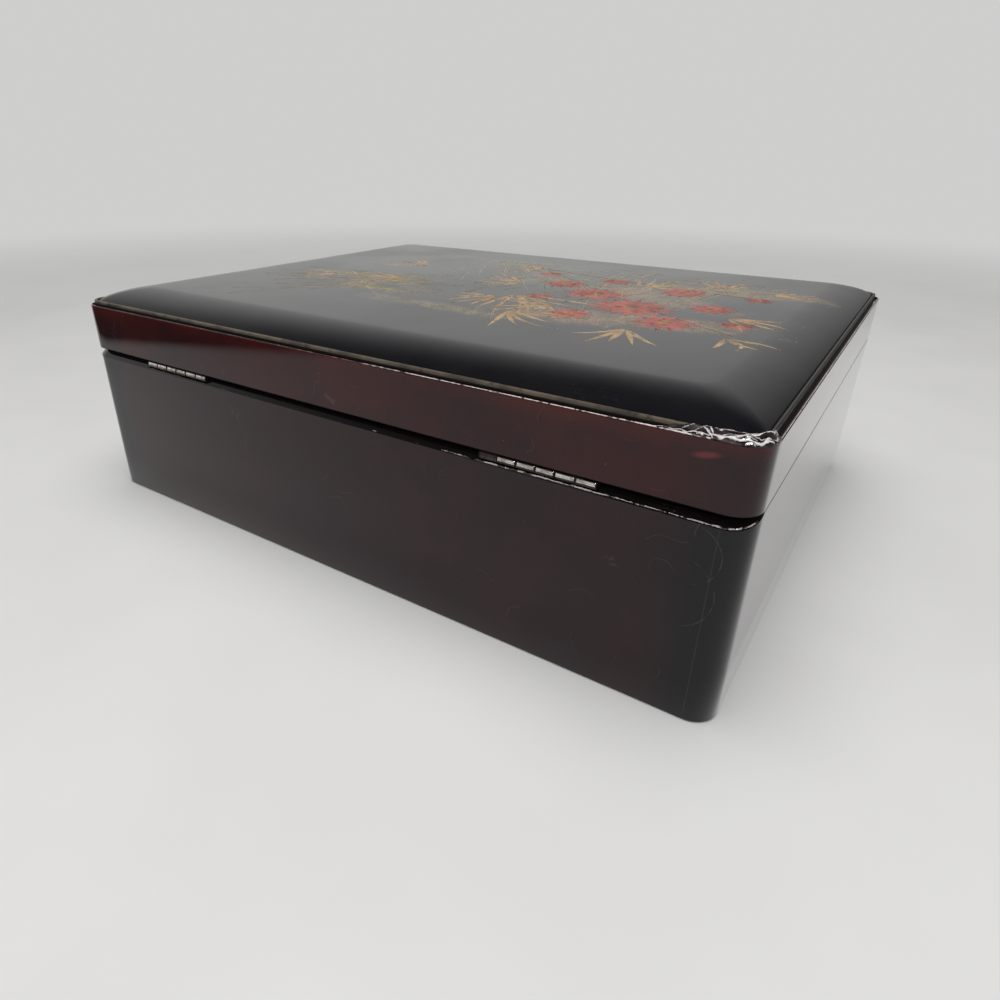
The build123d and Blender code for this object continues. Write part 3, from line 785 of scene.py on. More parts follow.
# %% Rounded bars
def rounded(corners, radius, steps):
    """A closed polygon with each corner rounded by a quadratic curve that starts a radius before it."""
    corners = np.asarray(corners, dtype=float)
    before, after = np.roll(corners, 1, 0) - corners, np.roll(corners, -1, 0) - corners
    length_b = np.linalg.norm(before, axis=1, keepdims=True)
    length_a = np.linalg.norm(after, axis=1, keepdims=True)
    cut = np.minimum(radius, 0.45 * np.minimum(length_b, length_a))
    start, end = corners + before / length_b * cut, corners + after / length_a * cut
    t = np.linspace(0, 1, steps)[None, :, None]
    curve = (1 - t) ** 2 * start[:, None] + 2 * t * (1 - t) * corners[:, None] + t**2 * end[:, None]
    return curve.reshape(-1, 2)


def rounded_bar(name, low, high, radius, end_radius, body, along=0):
    """A bar between two corners: a rectangle with rounded edges, each end drawn in by a quarter circle."""
    a, b = [axis for axis in range(3) if axis != along]
    corners = [(low[a], low[b]), (high[a], low[b]), (high[a], high[b]), (low[a], high[b])]
    ring = rounded(corners, radius, 5)
    middle = ring.mean(0)
    half = np.array([high[a] - low[a], high[b] - low[b]]) / 2
    angle = np.linspace(0, math.pi / 2, 4)
    inset = end_radius * (1 - np.sin(angle))
    step = end_radius * (1 - np.cos(angle))
    places = np.concatenate([low[along] + step, (high[along] - step)[::-1]])
    insets = np.concatenate([inset, inset[::-1]])
    sections = np.zeros((len(places), len(ring), 3))
    sections[..., along] = places[:, None]
    sections[..., [a, b]] = middle + (ring - middle) * ((half - insets[:, None]) / half)[:, None]
    return add_solid(name, *capped(sections), body_lacquer, body, "body_lacquer", 50)


frame_edge = 0.5 * MM
flush_end = 0.0001 * MM     # a rail's ends lie flat against the stiles
drawer_edge = 0.9 * MM
for node, along in (("front_upper_rail", 0), ("front_lower_rail", 0), ("front_centre_stile", 2)):
    low, high = box_of(node)
    if along == 0:
        low[0], high[0] = -opening_outer, opening_outer
    bar = rounded_bar(node + "_lacquered", low, high, frame_edge, flush_end, "case", along)
    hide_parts(node)
for side in ("left", "right"):
    node = side + "_drawer_front"
    front = rounded_bar(node + "_lacquered", *box_of(node), drawer_edge, drawer_edge, side + "_drawer")
    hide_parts(node)
print("front frame and drawer fronts made")

# %% [markdown]
# ## The lid's skirt
# The skirt is a closed ring. Its section has a sharp upper edge, the groove just inside it, and the seat that
# the crown rests in. A sharp edge in thick lacquer is never quite straight, so the edge's inset
# wanders by a tenth of a millimetre.

# %% Skirt
def skirt_section():
    """The skirt's board in (inset, height): outer face, ridge, groove, seat, inner face, lower edge."""
    lip = 0.4 * MM
    groove_floor = skirt_top - groove_depth
    return np.array([
        (0.0, seam + lip), (0.0, seam + 8 * MM), (0.0, seam + 16 * MM), (0.0, skirt_top - 3 * MM),
        (0.0, skirt_top - lip), (lip, skirt_top), (groove_start, skirt_top),
        (groove_start + 0.1 * MM, groove_floor), (groove_end, groove_floor),
        (groove_end, rebate_floor), (wall, rebate_floor), (wall, seam), (lip, seam),
    ])


sections = np.repeat(skirt_section()[None], len(outline_points), 0)
sections[:, 5:7, 0] += 0.05 * MM * smooth_random(3, len(outline_points), 60)[:, None]
skirt_points, skirt_faces = loft(outline_points, outline_normals, sections, True)
skirt = add_solid("lid_skirt", skirt_points, skirt_faces, body_lacquer, "lid", "body_lacquer", 28)
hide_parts("lid_back_board", "lid_front_board", "lid_left_board", "lid_right_board")
print("skirt", len(skirt_points), "points")

# %% [markdown]
# ## The crown
# The lid's panel has a rounded border, like a pillow, and an almost flat middle. The border's profile is a
# quarter of a superellipse: it starts upright at the foot and runs out level. The middle adds a dome so
# slight that only its reflections tell. One height function gives the surface, and the painted strokes use
# the same function, so that they lie on it.

# %% Crown height
foot = skirt_top + 0.8 * MM
foot_half = crown_high[:2]
pillow_width = 24 * MM
pillow_rise = 8.1 * MM
pillow_power = 1.56
dome_rise = 0.6 * MM
crown_corner = 7.5 * MM


def border_height(share):
    """Rise over the foot at a share of the border's width: (1 - (1 - share)^n)^(1/n)."""
    share = np.clip(share, 0, 1)
    return pillow_rise * (1 - (1 - share) ** pillow_power) ** (1 / pillow_power)


def dome_height(x, y):
    """A bump that is zero, and level, along the edges of the flat middle: (1 - u^2)^2 (1 - v^2)^2."""
    u = np.clip(np.abs(x) / (foot_half[0] - pillow_width), 0, 1)
    v = np.clip(np.abs(y) / (foot_half[1] - pillow_width), 0, 1)
    return dome_rise * (1 - u**2) ** 2 * (1 - v**2) ** 2


def crown_inset(x, y):
    """How far in from the foot a point lies, where each outline keeps the same corner radius."""
    a = np.abs(x) - (foot_half[0] - crown_corner)
    b = np.abs(y) - (foot_half[1] - crown_corner)
    straight = np.minimum(foot_half[0] - np.abs(x), foot_half[1] - np.abs(y))
    root = np.sqrt(np.maximum(2 * crown_corner**2 - (a - b) ** 2, 0))
    corner = (root - (a + b)) / 2
    in_corner = (a + corner > 0) & (b + corner > 0)
    return np.where(in_corner, corner, straight)


def crown_height(x, y):
    """The crown's surface over any point of the plan."""
    return foot + border_height(crown_inset(x, y) / pillow_width) + dome_height(x, y)


crown_middle = float(crown_height(np.array(0.0), np.array(0.0)))
print("crown's middle at", round(crown_middle, 5), "model's top", round(float(crown_high[2]), 5))


# %% Crown mesh
def crown_ring(inset):
    """The crown's outline drawn in by an inset, always with the same number of points."""
    return rounded_outline(foot_half[0] - inset, foot_half[1] - inset, crown_corner, 10, 36)[0]


def make_crown():
    """Rings from under the panel, up its seat, over the border and in to the middle of the top."""
    lift = np.linspace(0, math.pi / 2, 22)
    insets = pillow_width * (1 - np.cos(lift) ** (2 / pillow_power))
    plans = [crown_ring(inset) for inset in insets]
    plans += [crown_ring(pillow_width) * scale for scale in np.linspace(1, 0.04, 30)[1:]]
    top = [np.column_stack([plan, crown_height(*plan.T)]) for plan in plans]
    seat = crown_ring(0.0)
    under = [np.column_stack([seat * share, np.full(len(seat), rebate_floor)]) for share in (0.02, 0.5, 1.0)]
    return capped(np.array(under + top), flat_ends=False)


crown_points, crown_faces = make_crown()
crown = add_solid("crown", crown_points, crown_faces, crown_lacquer, "lid", "crown_lacquer", 60)
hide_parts("crown_panel")
print("crown", len(crown_points), "points")

# %% [markdown]
# ## Lacquer that has run
# Lacquer gathers along sharp edges and dries there as a low, lumpy line. The line is what catches the light
# along the skirt's upper edge and along the lower edge of the bevel, and its finish adds painted highlights.
# It is a thin tube along the edge, half sunk in it, whose thickness and place wander. At one corner of the
# lid it has piled up into thick folds.

# %% Lumpy tubes
def lumpy_tube(name, centre, thickness, material, body, seed, closed=False, sides=8):
    """A tube along a line of 3-D points, with its own radius at each point, squeezed by a second wander."""
    along = np.roll(centre, -1, 0) - np.roll(centre, 1, 0)
    if not closed:
        along[0], along[-1] = centre[1] - centre[0], centre[-1] - centre[-2]
    along /= np.linalg.norm(along, axis=1, keepdims=True)
    across = np.cross(along, [0, 0, 1])
    across /= np.linalg.norm(across, axis=1, keepdims=True)
    up = np.cross(across, along)
    angle = np.linspace(0, 2 * math.pi, sides, endpoint=False)
    squeeze = 1 + 0.3 * smooth_random(seed, len(centre), 90, closed)
    ring = (np.cos(angle)[None, :, None] * across[:, None] * squeeze[:, None, None]
            + np.sin(angle)[None, :, None] * up[:, None]) * thickness[:, None, None]
    return add_solid(name, *capped(centre[:, None, :] + ring, closed), material, body, "body_lacquer", 70)


def fine_outline(inset, spacing):
    """The case's outline drawn in by an inset and cut into even short steps, anticlockwise."""
    closed, normals = (np.concatenate([a, a[:1]]) for a in (outline_points, outline_normals))
    run = np.concatenate([[0], np.cumsum(np.linalg.norm(np.diff(closed, axis=0), axis=1))])
    places = np.arange(0, run[-1], spacing)
    line = closed - normals * inset
    return np.column_stack([np.interp(places, run, line[:, axis]) for axis in (0, 1)])


def grip_share(x):
    """How much an edge was handled: 0 at the +X end and 1 at the -X end."""
    return np.clip(0.5 - x / case_width, 0, 1)


# %% Lumpy edges
line_step = 0.6 * MM


def lay_ridge():
    """The line on the skirt's upper edge: thickest towards the handled corner, thin away from the back."""
    plan = fine_outline(0.45 * MM, line_step)
    count = len(plan)
    to_corner = np.hypot(plan[:, 0] + half_width, plan[:, 1] - half_depth)
    piled = np.exp(-((to_corner / (45 * MM)) ** 2))
    wander = smooth_random(11, count, 700)
    on_back = np.clip((plan[:, 1] - half_depth + 6 * MM) / (5 * MM), 0, 1)
    thickness = 0.13 + 0.03 * wander
    thickness += on_back * (0.13 * grip_share(plan[:, 0]) + 0.11 * wander + 0.16 * piled * (1 + 0.6 * wander))
    height = skirt_top - 0.10 * MM + 0.07 * MM * smooth_random(12, count, 420)
    line = np.column_stack([plan, height])
    return lumpy_tube("ridge_lacquer", line, thickness * MM, ridge_painted_highlight, "lid", 13, closed=True)


def lay_arris():
    """The line on the bevel's lower edge, round both back corners; it jumps more where it was handled."""
    inset = 0.62 * MM
    plan = fine_outline(inset, line_step)
    plan = plan[plan[:, 1] > half_depth - 0.75 * corner_radius]
    count = len(plan)
    gripped = grip_share(plan[:, 0])
    wander = smooth_random(21, count, 260, False)
    thickness = 0.12 + 0.24 * gripped**2 + (0.06 + 0.18 * gripped) * wander
    lift = 0.35 + 0.36 * smooth_random(22, count, 110, False)
    lift += 0.30 * gripped * smooth_random(24, count, 420, False)
    line = np.column_stack([plan, seam - bevel_size(plan[:, 1] + inset) + lift * MM])
    return lumpy_tube("arris_lacquer", line, thickness * MM, arris_painted_highlight, "case", 23)


print("lumpy edges made:", lay_ridge().name, lay_arris().name)

# %% [markdown]
# At the corner of the lid that was handled most, the lacquer ran together and dried in folds over the
# ridge, the groove and the bead. This is a patch on a grid: one way along the outline round the corner, and
# one way across it, from the outer face to the crown's foot. Folds are made from the absolute value of
# slanted sine waves, which gives sharp creases with round backs, and the patch dies away at both ends and
# both sides.

# %% Folds at the corner
fold_rows, fold_columns = 170, 56
fold_reach = 9.5 * MM
fold_floor = skirt_top - 1.3 * MM


def fold_bed(x, y, inset):
    """What the lacquer lies on: ridge, filled groove and bead by inset, then the crown's border."""
    low_part = np.interp(inset / MM, [0.0, 0.5, 1.5, 2.5, 3.9], [-0.45, -0.05, 0.45, 2.3, 2.2]) * MM
    on_crown = (crown_inset(x, y) > 0) & (inset > 3.9 * MM)
    return np.where(on_crown, np.maximum(crown_height(x, y), skirt_top + 2.2 * MM), skirt_top + low_part)


def fold_plan(start, end):
    """Points of the patch from above, one row to each step along the outline, and each column's inset."""
    plan = fine_outline(0.0, 0.25 * MM)
    ends = [int(np.argmin(np.hypot(plan[:, 0] - x, plan[:, 1] - y))) for x, y in (start, end)]
    picks = np.linspace(*ends, fold_rows)
    x, y = (np.interp(picks, np.arange(len(plan)), plan[:, axis]) for axis in (0, 1))
    normal = np.stack([np.gradient(y), -np.gradient(x)], 1)
    normal /= np.linalg.norm(normal, axis=1, keepdims=True)
    inset = 0.10 * MM + np.linspace(0, 1, fold_columns)[None, :] * fold_reach
    return x[:, None] - normal[:, :1] * inset, y[:, None] - normal[:, 1:] * inset, inset


def fold_surface(start, end, seed):
    """Points over the corner, their cover and how near each is to the top of a fold.

    Height = bed + envelope * (swell + folds), where folds = |sin| of slanted waves. The envelope is a
    product of ramps in from both sides and both ends, and where it is nothing the patch sinks out of sight.
    """
    x, y, inset = fold_plan(start, end)
    s = np.linspace(0, 1, fold_rows)[:, None]
    wander = (0.35 * smooth_random(seed, fold_rows, 8, False)[:, None]
              + 0.22 * smooth_random(seed + 1, fold_columns, 4, False)[None])
    t = inset / (4 * MM)
    waves = np.abs([np.sin(5 * s + 5.5 * t + 5 * wander), np.sin(-8 * s + 7.5 * t + 7 * wander)])
    folds = waves[0] + 0.6 * waves[1]
    limit = 3.6 + 1.3 * np.exp(-(((s - 0.74) / 0.20) ** 2))
    limit = limit + 0.4 * smooth_random(seed + 2, fold_rows, 12, False)[:, None]
    limit = limit * np.clip(0.30 + s / 0.55, 0, 1)
    inner = np.clip((limit * MM - inset) / (1.6 * MM), 0, 1)
    outer = np.clip(inset / (0.5 * MM), 0, 1)
    ends = np.clip(np.minimum(s / 0.45, (1 - s) / 0.14), 0, 1)
    envelope = inner**0.8 * outer**0.5 * ends**0.8
    sunk = 2.6 * MM * (1 - np.clip(envelope / 0.25, 0, 1))
    z = fold_bed(x, y, inset) - sunk + envelope * (0.20 + 0.62 * folds) * MM
    z = np.maximum(z, fold_floor + 0.05 * MM)
    crest = np.maximum(*waves) ** 6 * envelope**0.5
    return np.stack([x, y, z], 2), envelope, crest


# %% Slabs and the folded lacquer
def slab_under(top, floor_height):
    """Closes a grid of points with a flat floor and walls: points and faces."""
    rows, columns = top.shape[:2]
    count = rows * columns
    floor = top.copy()
    floor[..., 2] = floor_height
    quads = grid_faces(rows, columns, False, False)
    index = np.arange(count).reshape(rows, columns)
    border = np.concatenate([index[:-1, 0], index[-1, :-1], index[:0:-1, -1], index[0, :0:-1]])
    ring = np.roll(border, -1)
    walls = np.stack([border, ring, ring + count, border + count], 1)
    faces = np.concatenate([quads, quads[:, ::-1] + count, walls])
    return np.concatenate([top.reshape(-1, 3), floor.reshape(-1, 3)]), faces


def make_fold_lacquer():
    """Almost black and as glossy as wet varnish, with painted highlights in ragged white streaks along the
    tops of the folds.
    """
    finish = Finish("fold_lacquer", roughness=0.03, IOR=1.55, Coat_Weight=1.0, Coat_Roughness=0.02)
    thin = finish.ramp(finish.noise(220, 3), 0.4, 0.7)
    tone = finish.mix(thin, (0.008, 0.005, 0.007), (0.050, 0.036, 0.037))
    # Painted highlights: white where the folds are highest.
    crest = finish.add("ShaderNodeAttribute", {"attribute_name": "crest"}).outputs["Fac"]
    painted_highlight_streaks = finish.math("ADD", crest, finish.times(finish.noise(420, 5, 0.7, shift=(1, 8, 4)), 1.4))
    finish.feed("Base Color", finish.mix(finish.ramp(painted_highlight_streaks, 1.42, 1.62), tone, srgb(232, 228, 228)))
    finish.feed("Normal", finish.bump(finish.noise(650, 2, stretch=(1, 1, 0.5)), 0.00016))
    return finish.material


fold_points, fold_cover, fold_crest = fold_surface(
    (-half_width + 44 * MM, half_depth), (-half_width, half_depth - 15 * MM), 61
)
corner_folds = add_piece(
    "corner_folds", *slab_under(fold_points, fold_floor), make_fold_lacquer(), "lid", "body_lacquer", 60
)
crest_values = corner_folds.data.attributes.new("crest", "FLOAT", "POINT")
crest_values.data.foreach_set("value", np.concatenate([fold_crest.ravel(), np.zeros(fold_crest.size)]))
face_outwards(corner_folds)
print("folds cover", int((fold_cover > 0.3).sum()), "of", fold_cover.size, "points")

# %% [markdown]
# Each crease carries a thin pale line, a painted highlight along it. The lines are tubes
# laid along slanted paths over the grid of the folds: a path picks one point of the grid in each row.

# %% Painted highlights on the creases
def crease(name, row_from, row_to, inset_from, inset_to, bend, thickness, seed):
    """A tube over the folds: the column follows a straight slant plus a half sine, and a little wander."""
    rows = np.arange(row_from, row_to)
    u = np.linspace(0, 1, len(rows))
    path = inset_from + (inset_to - inset_from) * u + bend * np.sin(math.pi * u)
    path += 0.22 * smooth_random(seed, len(rows), 9, False)
    column = np.clip(path * MM / fold_reach * (fold_columns - 1), 0, fold_columns - 2)
    low = column.astype(int)
    share = (column - low)[:, None]
    line = fold_points[rows, low] * (1 - share) + fold_points[rows, low + 1] * share
    line[:, 2] += 0.03 * MM
    swell = np.sin(math.pi * np.clip(u, 0.03, 0.97)) ** 0.6
    swell = swell * (0.75 + 0.35 * smooth_random(seed + 1, len(rows), 20, False))
    return lumpy_tube(name, line, thickness * MM * swell, ridge_painted_highlight, "lid", seed + 2, sides=6)


# Each crease: first and last row, inset at both ends, bend and thickness in millimetres.
crease_paths = [
    (20, 112, 0.4, 0.7, 0.3, 0.30), (74, 124, 0.8, 1.6, 0.7, 0.34), (112, 158, 2.4, 0.6, -0.2, 0.26),
    (60, 130, 2.2, 3.4, 0.3, 0.16), (118, 152, 3.8, 2.4, 0.3, 0.22),
]
for number, values in enumerate(crease_paths):
    crease(f"crease_{number + 1}", *values, 80 + 5 * number)
print(len(crease_paths), "creases laid")

# %% [markdown]
# ## Painted lid
# The lid's painting is a design of this maker's own: a spray of round coral blossoms with pale gold
# bamboo leaves, long reeds in old gold bending over them, and drifting bars of gold dust. It is low relief,
# as in built-up lacquer, so each stroke is a real ribbon: a curve with a width that swells and tapers,
# arched by a few hundredths of a millimetre, laid on the crown by its height function.

# %% Ribbons
def ribbons(start, control, end, width, taper=0.6, steps=14, relief=0.09 * MM, sink=0.05 * MM):
    """Many tapering strokes at once.

    Each runs along a quadratic curve (1-t)^2 start + 2t(1-t) control + t^2 end. Its half width is
    width * sin(pi t^taper), and across it the height is an arch, relief * (1 - s^2), less sink * s^4.
    """
    start, control, end = (np.atleast_2d(v)[:, None, :] for v in (start, control, end))
    t = np.linspace(0, 1, steps)[None, :, None]
    line = (1 - t) ** 2 * start + 2 * t * (1 - t) * control + t**2 * end
    slope = 2 * (1 - t) * (control - start) + 2 * t * (end - control)
    slope /= np.linalg.norm(slope, axis=2, keepdims=True) + 1e-12
    side = np.stack([-slope[..., 1], slope[..., 0]], 2)
    half = np.atleast_1d(width)[:, None] * np.sin(math.pi * np.clip(t[..., 0], 0.004, 0.996) ** taper)
    s = np.linspace(-1, 1, 5)
    plan = line[:, :, None, :] + side[:, :, None, :] * (half[..., None] * s)[..., None]
    height = crown_height(plan[..., 0], plan[..., 1]) + relief * (1 - s**2) - sink * s**4
    solid = np.concatenate([plan, height[..., None]], 3)
    each = grid_faces(steps, len(s), False, False)
    faces = (each[None] + (np.arange(len(solid)) * steps * len(s))[:, None, None]).reshape(-1, 4)
    return solid.reshape(-1, 3), faces


def face_up(faces, points):
    """Turns every face whose normal points down."""
    a, b, d = (points[faces[:, i]] for i in (0, 1, 3))
    down = np.cross(b - a, d - a)[:, 2] < 0
    return np.where(down[:, None], faces[:, ::-1], faces)


def paint(name, strokes, material):
    """Joins batches of ribbons into one painted piece on the lid."""
    starts = np.cumsum([0] + [len(points) for points, _ in strokes])
    points = np.concatenate([points for points, _ in strokes])
    faces = np.concatenate([faces + start for (_, faces), start in zip(strokes, starts)])
    return add_piece(name, points, face_up(faces, points), material, "lid", "crown_lacquer", 80)


# %% Leaves and blossoms
def spray(rng, root, heading, spread, count, length, width):
    """Leaves from one root, fanned about a heading; each droops a little to one side."""
    angle = heading + np.linspace(-spread, spread, count) + rng.normal(0, 0.06, count)
    reach = length * rng.uniform(0.75, 1.1, count)
    direction, side = fan_out(angle), np.stack([-np.sin(angle), np.cos(angle)], 1)
    bend = rng.normal(0, 0.12, count)[:, None] * reach[:, None]
    start = np.array(root) + direction * 0.06 * length
    control = start + direction * reach[:, None] * 0.5 + side * bend
    end = start + direction * reach[:, None]
    return ribbons(start, control, end, width * rng.uniform(0.8, 1.15, count), 0.75)


def blossom(rng, centre, radius, petals, rows):
    """Round flower: rings of narrow petals, each ring shorter than the last and turned by half a petal."""
    batches = []
    for row in range(rows):
        share = 1 - 0.26 * row
        half_petal = row * math.pi / petals
        angle = np.arange(petals) * 2 * math.pi / petals + half_petal + rng.normal(0, 0.03, petals)
        reach = radius * share * rng.uniform(0.92, 1.05, petals)
        start = centre + fan_out(angle) * radius * 0.14
        end = centre + fan_out(angle) * reach[:, None]
        relief = (0.07 + 0.02 * row) * MM
        batches.append(ribbons(start, (start + end) / 2, end, radius * 0.105, 1.25, 9, relief))
    return batches


def stamens(centre, radius, count=14):
    """Short fine strokes round a blossom's middle."""
    out = fan_out(np.arange(count) * 2 * math.pi / count) * radius
    inner, middle, outer = (centre + share * out for share in (0.04, 0.14, 0.24))
    return ribbons(inner, middle, outer, radius * 0.018, 1.6, 6, 0.14 * MM)


rng = np.random.default_rng(47)
# Each blossom: middle x and y and radius in millimetres, and its petals.
blossom_places = [
    (-92, 18, 23, 17), (-62, -6, 19, 16), (-118, 42, 17, 15), (-34, -24, 15, 14), (-128, -2, 13, 13),
    (-72, 50, 13, 13), (-102, -38, 16, 15), (-56, -50, 11, 12), (-148, 28, 9, 11), (-142, -40, 8, 11),
    (-10, -52, 9, 11), (-40, 20, 9, 11),
]
coral_strokes, stamen_strokes = [], []
for x, y, radius, petals in blossom_places:
    place = np.array([x, y]) * MM
    coral_strokes += blossom(rng, place, radius * MM, petals, 3)
    stamen_strokes.append(stamens(place, radius * MM))
paint("painted_blossoms", coral_strokes, coral)
paint("painted_stamens", stamen_strokes, pale_gold)

# Each spray: root x and y in millimetres, heading, leaves and their length in millimetres.
leaf_places = [
    (-58, 36, 0.5, 6, 34), (-140, 14, 2.6, 5, 28), (-14, -8, -0.1, 5, 36), (-76, -40, -1.9, 6, 32),
    (-108, 64, 1.7, 5, 28), (2, -62, -0.5, 5, 30), (-146, -58, -2.4, 5, 24), (-22, 34, 0.9, 5, 30),
    (-118, -66, -1.4, 5, 26), (-150, 56, 2.3, 4, 22), (-26, 22, 2.3, 8, 52), (-44, 60, 2.6, 6, 40),
    (52, 22, 0.3, 6, 38), (104, 26, 0.5, 5, 30), (78, -34, -0.2, 5, 34),
]
gold_strokes = [
    spray(rng, np.array([x, y]) * MM, heading, 0.7, count, length * MM, 1.7 * MM)
    for x, y, heading, count, length in leaf_places
]
paint("painted_leaves", gold_strokes, pale_gold)
print("painted", len(blossom_places), "blossoms and", len(leaf_places), "sprays of leaves")


# %% Reeds, stems and grasses
def reeds(rng, count, low, high, lean, length, width):
    """Long thin strokes from a bank between two points, leaning one way and bowing under their own tips."""
    share = rng.uniform(0, 1, (count, 1))
    start = np.array(low) * (1 - share) + np.array(high) * share
    angle = lean + rng.normal(0, 0.22, count)
    reach = length * rng.uniform(0.6, 1.1, count)
    direction = fan_out(angle)
    bow = np.stack([-np.sin(angle), np.cos(angle)], 1) * (rng.normal(0.16, 0.08, count) * reach)[:, None]
    control = start + direction * reach[:, None] * 0.55
    end = start + direction * reach[:, None] + bow
    return ribbons(start, control, end, width, 0.5, 22, 0.07 * MM)


reed_strokes = [
    reeds(rng, 26, (-0.150, -0.085), (-0.040, -0.100), 1.15, 0.150, 0.45 * MM),
    reeds(rng, 16, (0.010, -0.090), (0.060, -0.080), 2.0, 0.120, 0.40 * MM),
    reeds(rng, 10, (0.080, 0.030), (0.110, 0.010), 2.6, 0.075, 0.28 * MM),
    reeds(rng, 16, (0.010, 0.046), (0.050, 0.006), 0.25, 0.115, 0.40 * MM),
]
paint("painted_reeds", reed_strokes, old_gold)
stem_strokes = [
    ribbons([(-0.152, 0.050)], [(-0.098, 0.020)], [(0.012, -0.076)], 0.7 * MM, 0.5, 40),
    ribbons([(-0.146, -0.044)], [(-0.096, -0.044)], [(0.004, -0.070)], 0.6 * MM, 0.5, 40),
    ribbons([(-0.074, 0.056)], [(-0.040, 0.030)], [(-0.006, -0.060)], 0.5 * MM, 0.5, 40),
]
paint("painted_stems", stem_strokes, sage)
print("painted", len(reed_strokes), "banks of reeds and", len(stem_strokes), "stems")


# %% Gold dust
def dust_bars(rng, bars, count):
    """Six-sided flecks scattered in long soft bars: dense along a bar's middle, thin at rims and ends."""
    which = rng.integers(0, len(bars), count)
    x0, y0, length, height, angle = np.array(bars)[which].T
    along = rng.normal(0, 0.32, count) * length
    across = rng.normal(0, 0.30, count) * height
    x = x0 + along * np.cos(angle) - across * np.sin(angle)
    y = y0 + along * np.sin(angle) + across * np.cos(angle)
    keep = crown_inset(x, y) > 9 * MM
    x, y = x[keep, None], y[keep, None]
    size = rng.uniform(0.14, 0.42, (len(x), 1)) * MM
    turn = rng.uniform(0, 2 * math.pi, (len(x), 1))
    angle = np.linspace(0, 2 * math.pi, 6, endpoint=False)[None] + turn
    px, py = x + size * np.cos(angle), y + size * np.sin(angle)
    pz = crown_height(px, py) + 0.02 * MM
    return np.stack([px, py, pz], 2).reshape(-1, 3), np.arange(px.size).reshape(-1, 6)


dust_places = [(x, y, 1.5 * length, 1.3 * height, angle) for x, y, length, height, angle in mist_bars]
dust_points, dust_faces = dust_bars(rng, dust_places, 6400)
add_piece("painted_gold_dust", dust_points, dust_faces, old_gold, "lid", "crown_lacquer", 80)
print("dusted with", len(dust_faces), "flecks")

# %% [markdown]
# ## Felt linings
# Each lining is a thin sheet of felt glued flat on a floor. Cut felt is a little thicker in some places
# than in others and its cut edge is soft, so each sheet is a grid whose free face swells by a tenth of a
# millimetre and turns in at its rim.

# %% Felt sheets
def felt_sheet(name, node, body, seed, under=False):
    """A thin slab in the node's box: its free face waves by smooth noise, and its rim is rounded off."""
    low, high = box_of(node)
    columns, rows = 48, 40
    u, v = np.meshgrid(np.linspace(0, 1, columns), np.linspace(0, 1, rows), indexing="ij")
    x, y = low[0] + u * (high[0] - low[0]), low[1] + v * (high[1] - low[1])
    rim = np.minimum.reduce([x - low[0], high[0] - x, y - low[1], high[1] - y])
    wave = smooth_random(seed, columns, 9, False)[:, None] + smooth_random(seed + 1, rows, 9, False)[None]
    thick = (high[2] - low[2]) * (0.9 + 0.05 * wave) * np.where(rim < 1e-6, 0.55, 1.0)
    glued = high[2] if under else low[2]
    free = glued - thick if under else glued + thick
    sheet = slab_under(np.stack([x, y, free], 2), glued)
    piece = add_solid(name, *sheet, felt_green, body, "felt", 60)
    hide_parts(node)


felt_sheet("well_lining", "well_felt", "case", 31)
felt_sheet("lid_lining", "lid_felt", "lid", 33, under=True)
for side, seed in (("left", 35), ("right", 37)):
    drawer = side + "_drawer"
    felt_sheet(drawer + "_lining", drawer + "_felt", drawer, seed)
print("four felt sheets laid")

# %% [markdown]
# ## Drawer pulls
# Each pull is a brass ring that hangs from an eye on a small round plate. The plate is turned, so it is a
# profile spun about its axis: a flat disc, a fine step and a low dome under the eye. The ring is a torus
# that is a touch thicker at the bottom, where fingers take it.

# %% Pull plates and rings
def full_turn(steps):
    """Equal angles once round a circle."""
    return np.linspace(0, 2 * math.pi, steps, endpoint=False)


def turned_plate(name, node, body):
    """The plate's profile of (radius, height) spun about its axis, which runs along -Y from its back."""
    low, high = box_of(node)
    centre = (low + high) / 2
    radius, thickness = (high[0] - low[0]) / 2, high[1] - low[1]
    steps = [(0, 0), (0, 0.35), (0.3, 0.55), (1.4, 0.6), (1.7, 0.85), (4.5, 0.8), (5.2, 1)]
    rim = [(radius - inset * MM, share * thickness) for inset, share in steps]
    profile = [(0, 0), *rim, (0, thickness)]
    out, rise = (value[:, None] for value in np.array(profile).T)
    angle = full_turn(48)
    points = np.stack([
        centre[0] + out * np.cos(angle), high[1] - rise + 0 * angle, centre[2] + out * np.sin(angle)
    ], 2)
    faces = grid_faces(len(profile), len(angle), False, True)
    return add_solid(name, points.reshape(-1, 3), faces, pull_brass, body, "pull_brass", 40)


def pull_ring(name, node, body):
    """A torus in the node's box, with a tube radius that grows by a tenth towards the bottom."""
    low, high = box_of(node)
    centre = (low + high) / 2
    tube = (high[1] - low[1]) / 2
    radius = (high[0] - low[0]) / 2 - tube
    steps = (72, 16)
    around, across = (a.ravel() for a in np.meshgrid(*map(full_turn, steps), indexing="ij"))
    thick = tube * (0.95 - 0.05 * np.sin(around))
    reach = radius + thick * np.cos(across)
    points = centre + np.stack([reach * np.cos(around), thick * np.sin(across), reach * np.sin(around)], 1)
    return add_solid(name, points, grid_faces(*steps, True, True), pull_brass, body, "pull_brass", 80)


for side in ("left", "right"):
    plate = turned_plate(side + "_pull_rose", side + "_pull_plate", side + "_drawer")
    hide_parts(side + "_pull_plate")
    ring = pull_ring(side + "_ring", side + "_pull_ring", side + "_pull")
    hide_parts(side + "_pull_ring")
print("pulls made")

